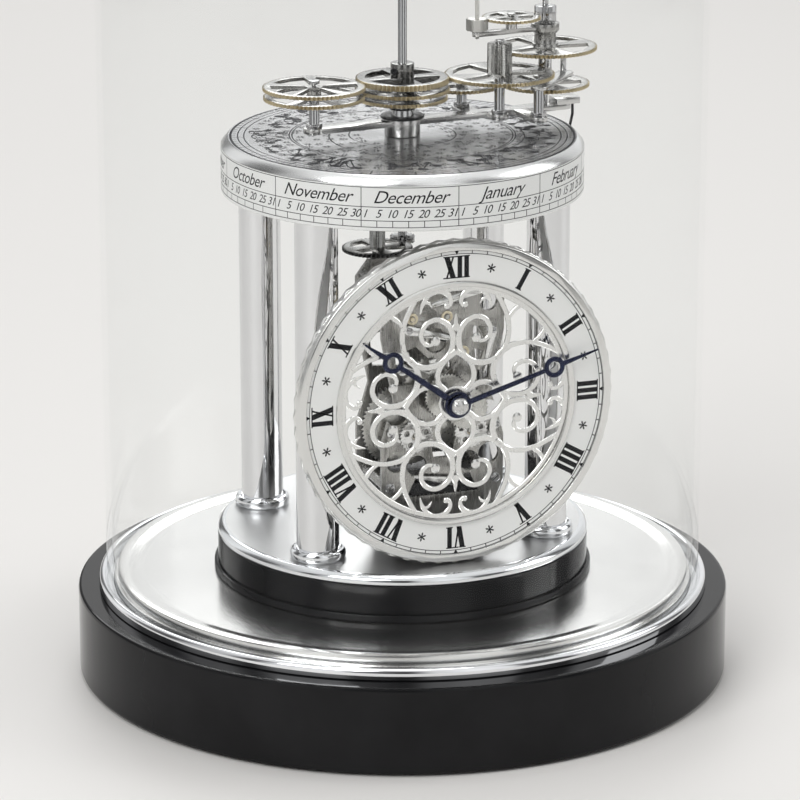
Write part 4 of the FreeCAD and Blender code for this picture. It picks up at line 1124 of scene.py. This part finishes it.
# ---------------------------------------------------------------- hands
# Steel hands, pierced with a ring and blued dark, on polished hubs. They are pushed on their arbors,
# and a domed silver nut holds both.
blued = finish("blued steel", (0.030, 0.036, 0.075), 0.2, metallic=0.9, scale=900.0, tone=0.3)
hour_hand = refined("hour_hand", "hour_group", "blued_steel", blued, 0.12)
minute_hand = refined("minute_hand", "minute_group", "blued_steel", blued, 0.12)
for hand in (hour_hand, minute_hand):
    only(hand)
    depths = [vertex.co.y for vertex in hand.data.vertices]
    mid_depth = (min(depths) + max(depths)) / 2
    bpy.ops.object.mode_set(mode="EDIT")
    bpy.ops.mesh.select_all(action="SELECT")
    bpy.ops.transform.shrink_fatten(value=0.22 * mm)
    bpy.ops.transform.resize(value=(1, 0.6, 1), center_override=(0, mid_depth, dial_height * mm))
    bpy.ops.object.mode_set(mode="OBJECT")
hour_hub = turned("hour_hand_hub", [
    (5.2, 68.35),
    (5.7, 68.35),
    (5.75, 68.6),
    (5.6, 69.2),
    (5.0, 69.3),
    (4.2, 69.3),
], sides=72)
fitted(stood(hour_hub), "hour_group", "blued_steel", blued)
minute_hub = turned("minute_hand_hub", [
    (4.4, 70.5),
    (4.5, 70.6),
    (4.5, 70.9),
    (4.35, 71.15),
    (3.4, 71.2),
], sides=72)
fitted(stood(minute_hub), "minute_group", "blued_steel", blued)
refined("hand_nut", "minute_group", "silver", silver_metal, 0.12)

# ---------------------------------------------------------------- drive to the calendar work
# A bracket under the drum carries a large wheel that takes the movement's turning up to the centre.
# The bracket is milled and blacked, and the wheel is cut, crossed out and silvered.
refined("drive_bracket", "clock", "black_steel", black_metal, 0.15)
transfer = refined("transfer_wheel", "transfer_wheel", "wheel_silver", shaded_wheel, 0.06)
brass_teeth(transfer, "z", middle("transfer_wheel"), 1.5, 6.0, shaded_wheel, steel_gap_shade)

# ---------------------------------------------------------------- centre tube and fixed wheel
# The tube is pressed into the drum and stands still. The wheel on it is fixed, and the arm's wheels
# roll round it.
refined("centre_tube", "clock", "steel", steel_metal, 0.1)
fixed = refined("fixed_wheel", "clock", "wheel_silver", wheel_metal, 0.05)
brass_teeth(fixed, "z", (0, 0, 0))
refined("hub_clip", "clock", "black_steel", black_metal, 0.1)

# ---------------------------------------------------------------- centre shaft and its top wheel
# A long polished shaft in the tube. A thick wheel, crossed out with oval openings, is clamped to it
# by a collar and a black set screw.
refined("centre_shaft", "centre_shaft", "steel", steel_metal, 0.1)
top_metal = finish("dark polished wheel", (0.27, 0.268, 0.26), 0.2, bump=0.06)
top = refined("top_wheel", "centre_shaft", "wheel_silver", top_metal, 0.12)
brass_teeth(top, "z", (0, 0, 0))

# ---------------------------------------------------------------- set screw of the collar
# A blacked screw with a hollow round head, let into the side of the collar. It clamps the top wheel
# to its shaft.
screw = turned("collar_screw", [
    (1.2, 4.2),
    (1.55, 4.35),
    (1.55, 5.5),
    (1.3, 5.75),
    (0.6, 5.75),
    (0.55, 5.3),
], sides=32)
screw.rotation_euler = (math.pi / 2, 0, math.radians(-60))
screw.location = (0, 0, 261.6 * mm)
fitted(place(screw), "centre_shaft", "black_steel", black_metal)

# ---------------------------------------------------------------- second wheel and its sleeve
# A thin wheel, cut and crossed out, on a long sleeve that turns round the shaft. It runs between the
# fixed wheel and the top one.
second = refined("second_wheel", "second_wheel", "wheel_silver", wheel_metal, 0.05)
brass_teeth(second, "z", (0, 0, 0))

# ---------------------------------------------------------------- year arm
# A long polished arm that goes round the drum once a year. It carries the wheels on upright posts
# with six-sided feet and, at its end, a block with a black hook that points at the date.
refined("year_arm", "year_arm", "silver", silver_metal, 0.25)
refined("arm_posts", "year_arm", "steel", steel_metal, 0.1)
refined("earth_bridge", "year_arm", "silver", silver_metal, 0.15)
refined("earth_tube", "year_arm", "black_steel", steel_metal, 0.1)
pointer = refined("date_pointer", "year_arm", "black_steel", silver_metal, 0.12)
pointer.data.materials.append(black_metal)
block_reach, hook_top = 78.4, 239.5
for face in pointer.data.polygons:
    if face.center.z < hook_top * mm or math.hypot(face.center.x, face.center.y) > block_reach * mm:
        face.material_index = 1

# ---------------------------------------------------------------- wheels on the year arm
# Thin wheels, cut, crossed out and silvered, with the brass bare in their teeth. Each turns on its
# own post.
for node, body in (("left_wheel_pair", "left_wheel_pair"), ("idler_wheel", "idler_wheel"),
                   ("earth_wheel", "earth_shaft"), ("moon_drive_wheel", "moon_drive_wheel"),
                   ("moon_wheel", "moon_carrier"), ("sky_idler_wheel", "sky_idler_wheel")):
    wheel = refined(node, body, "wheel_silver", wheel_metal, 0.05)
    brass_teeth(wheel, "z", middle(node), 1.4, 9.0)
refined("earth_shaft", "earth_shaft", "steel", steel_metal, 0.06)
refined("moon_bracket", "moon_carrier", "steel", silver_metal, 0.1)

# ---------------------------------------------------------------- earth globe
# A small hollow ball, painted sea blue with the lands in worn gold. It is pushed on the end of its
# leaning shaft and spins with it.
globe_centre = middle("earth_globe")
globe_paint = bpy.data.materials.new("globe paint")
globe_paint.use_nodes = True
globe_tree = globe_paint.node_tree
globe_shader = globe_tree.nodes["Principled BSDF"]
globe_shader.inputs["Roughness"].default_value = 0.25
globe_at = added(globe_tree, "TexCoord", {})
globe_shift = added(globe_tree, "Mapping", {
    "Vector": globe_at.outputs["Object"],
    "Location": [-value * mm for value in globe_centre],
})
lands = added(globe_tree, "TexNoise", {"Vector": globe_shift.outputs["Vector"], "Scale": 75.0, "Detail": 7.0})
shore = added(globe_tree, "ValToRGB", {"Fac": lands.outputs["Fac"]})
shore.color_ramp.elements[0].position = 0.53
shore.color_ramp.elements[0].color = (0.045, 0.13, 0.30, 1)
shore.color_ramp.elements[1].position = 0.545
shore.color_ramp.elements[1].color = (0.50, 0.40, 0.20, 1)
globe_tree.links.new(shore.outputs["Color"], globe_shader.inputs["Base Color"])
refined("earth_globe", "earth_globe", "globe_blue", globe_paint, 0)

# ---------------------------------------------------------------- moon
# A small silver ball turned with its thin rod, which is bent twice and pinned in the moon's carrier.
# The rod is drawn silver wire, left matt like the ball.
moon_silver = finish("matt moon silver", (0.74, 0.73, 0.70), 0.35, scale=500.0, uneven=0.1, tone=0.25,
                     bump=0.4)
refined("moon_and_rod", "moon", "silver", moon_silver, 0)

# ---------------------------------------------------------------- sun
# A gilt ball on top of the centre shaft, spun from sheet in two halves and polished.
# It is pushed on the shaft's end and turns with it.
gilt = finish("polished gilt", (0.83, 0.60, 0.24), 0.1, scale=700.0, uneven=0.04, tone=0.12)
refined("sun_ball", "centre_shaft", "gilt", gilt, 0)

# ---------------------------------------------------------------- glass dome
# A blown, round-topped dome of thin clear glass. Its foot is ground flat and stands in the groove
# of the seat ring, with nothing to fasten it.
glass = bpy.data.materials.new("clear glass")
glass.use_nodes = True
glass_tree = glass.node_tree
glass_tree.nodes.clear()
ripple_at = added(glass_tree, "TexCoord", {})
ripple = added(glass_tree, "TexNoise", {"Vector": ripple_at.outputs["Object"], "Scale": 9.0})
ripple_bump = added(glass_tree, "Bump", {
    "Height": ripple.outputs["Fac"],
    "Strength": 0.12,
    "Distance": 0.4 * mm,
})
edge_on = added(glass_tree, "LayerWeight", {"Blend": 0.5})
edge_rise = added(glass_tree, "Math", {0: edge_on.outputs["Facing"], 1: 4.0}, operation="POWER")
edge_share = added(glass_tree, "MapRange", {
    "Value": edge_rise.outputs["Value"],
    "To Min": 0.004,
    "To Max": 0.42,
})
clear = added(glass_tree, "BsdfTransparent", {"Color": (0.99, 0.993, 0.992, 1)})
gleam = added(glass_tree, "BsdfGlossy", {
    "Color": (1, 1, 1, 1),
    "Roughness": 0.02,
    "Normal": ripple_bump.outputs["Normal"],
})
through = added(glass_tree, "MixShader", {
    "Fac": edge_share.outputs["Result"],
    1: clear.outputs["BSDF"],
    2: gleam.outputs["BSDF"],
})
added(glass_tree, "OutputMaterial", {"Surface": through.outputs["Shader"]})

wall_out, wall_in, spring, glass_foot = 127.7, 125.1, 292.4, 39.8
shell = [
    (wall_in, spring), (wall_in, glass_foot + 0.7), (wall_in + 0.7, glass_foot),
    (wall_out - 0.7, glass_foot), (wall_out, glass_foot + 0.7), (wall_out, spring),
]
for step in range(1, 45):
    rise = math.radians(step * 2)
    shell.insert(0, (wall_in * math.cos(rise), spring + wall_in * math.sin(rise)))
    shell.append((wall_out * math.cos(rise), spring + wall_out * math.sin(rise)))
shell.insert(0, (0.4, spring + wall_in))
shell.append((0.4, spring + wall_out))
dome = turned("glass_dome_shell", shell, sides=192)
fitted(dome, "dome", "glass", glass, "glass_dome")

# ---------------------------------------------------------------- table, light and camera
# A plain pale floor under soft studio light. The sky that shows in polished metal has wide pale
# screens with darker gaps between them, as a studio has, and the camera sees plain white.
floor_paint = bpy.data.materials.new("pale floor")
floor_paint.use_nodes = True
floor_shader = floor_paint.node_tree.nodes["Principled BSDF"]
floor_shader.inputs["Base Color"].default_value = (0.80, 0.785, 0.765, 1)
floor_shader.inputs["Roughness"].default_value = 0.55
floor_shader.inputs["Specular IOR Level"].default_value = 0.25
bpy.ops.object.select_all(action="DESELECT")
bpy.ops.mesh.primitive_circle_add(vertices=96, radius=7.0, fill_type="NGON", location=(0, 0, 0))
floor = bpy.context.object
floor.name = "floor"
floor.data.materials.append(floor_paint)

world = bpy.data.worlds.new("studio")
bpy.context.scene.world = world
world.use_nodes = True
sky = world.node_tree
sky.nodes.clear()
direction = added(sky, "TexCoord", {})
heading = added(sky, "SeparateXYZ", {"Vector": direction.outputs["Generated"]})
compass = added(sky, "Math", {0: heading.outputs["Y"], 1: heading.outputs["X"]}, operation="ARCTAN2")
turn_share = added(sky, "MapRange", {
    "Value": compass.outputs["Value"],
    "From Min": -math.pi,
    "From Max": math.pi,
})
screens = added(sky, "ValToRGB", {"Fac": turn_share.outputs["Result"]})
screens.color_ramp.interpolation = "EASE"
screen_stops = [
    (0.0, 0.55), (0.035, 0.12), (0.075, 0.85), (0.13, 0.95), (0.15, 0.25), (0.20, 0.06), (0.235, 0.75),
    (0.27, 1.0), (0.305, 0.9), (0.325, 0.16), (0.37, 0.10), (0.395, 0.8), (0.46, 0.95), (0.50, 0.35),
    (0.54, 0.12), (0.57, 0.7), (0.66, 0.95), (0.715, 0.95), (0.74, 0.25), (0.77, 0.15), (0.79, 0.8),
    (0.84, 0.95), (0.88, 0.2), (0.93, 0.10), (0.965, 0.5), (1.0, 0.55),
]
ramp = screens.color_ramp.elements
ramp[0].position = screen_stops[0][0]
ramp[0].color = [screen_stops[0][1]] * 3 + [1]
ramp[1].position = screen_stops[-1][0]
ramp[1].color = [screen_stops[-1][1]] * 3 + [1]
for position, level in screen_stops[1:-1]:
    stop = ramp.new(position)
    stop.color = [level] * 3 + [1]
overhead = added(sky, "MapRange", {"Value": heading.outputs["Z"], "From Min": 0.55, "From Max": 0.85})
dome_of_light = added(sky, "Mix", {
    "Factor": overhead.outputs["Result"],
    "A": screens.outputs["Color"],
    "B": (0.9, 0.9, 0.9, 1),
}, data_type="RGBA")
seen = added(sky, "LightPath", {})
mirrored = added(sky, "Background", {"Color": dome_of_light.outputs["Result"], "Strength": 1.0})
plain = added(sky, "Background", {"Color": (1, 1, 1, 1), "Strength": 0.42})
white = added(sky, "Background", {"Color": (0.93, 0.93, 0.925, 1), "Strength": 1.0})
to_metal = added(sky, "MixShader", {
    "Fac": seen.outputs["Is Glossy Ray"],
    1: plain.outputs["Background"],
    2: mirrored.outputs["Background"],
})
straight = added(sky, "Math", {
    0: seen.outputs["Is Camera Ray"],
    1: seen.outputs["Is Transmission Ray"],
}, operation="MAXIMUM")
to_eye = added(sky, "MixShader", {
    "Fac": straight.outputs["Value"],
    1: to_metal.outputs["Shader"],
    2: white.outputs["Background"],
})
added(sky, "OutputWorld", {"Surface": to_eye.outputs["Shader"]})

for lamp_name, place_at, size, power in (
    ("window screen", (-1.5, -1.2, 1.7), 1.3, 26.0),
    ("side screen", (1.9, -0.5, 1.2), 1.1, 11.0),
    ("back screen", (0.4, 1.9, 1.6), 1.2, 12.0),
    ("top screen", (0.0, 0.0, 2.4), 1.0, 10.0),
):
    bpy.ops.object.light_add(type="AREA", location=place_at)
    lamp = bpy.context.object
    lamp.name = lamp_name
    lamp.data.shape = "SQUARE"
    lamp.data.size = size
    lamp.data.energy = power
    aim = (0.0 - place_at[0], 0.0 - place_at[1], 0.18 - place_at[2])
    flat_reach = math.hypot(aim[0], aim[1])
    lamp.rotation_euler = (math.atan2(flat_reach, -aim[2]), 0, math.atan2(aim[1], aim[0]) - math.pi / 2)

eye_reach, eye_height = 1.7089, 0.63119
eye_pitch, eye_turn = math.radians(16.7361), math.radians(-19.5)
bpy.ops.object.camera_add(
    location=(eye_reach * math.sin(eye_turn), -eye_reach * math.cos(eye_turn), eye_height),
    rotation=(math.pi / 2 - eye_pitch, 0, eye_turn))
camera = bpy.context.object
camera.name = "camera"
camera.data.sensor_width = 36.0
camera.data.lens = 187.6
camera.data.shift_x = -2.35 / 800
camera.data.clip_end = 50.0
bpy.context.scene.camera = camera
bpy.context.scene.view_settings.view_transform = "Standard"
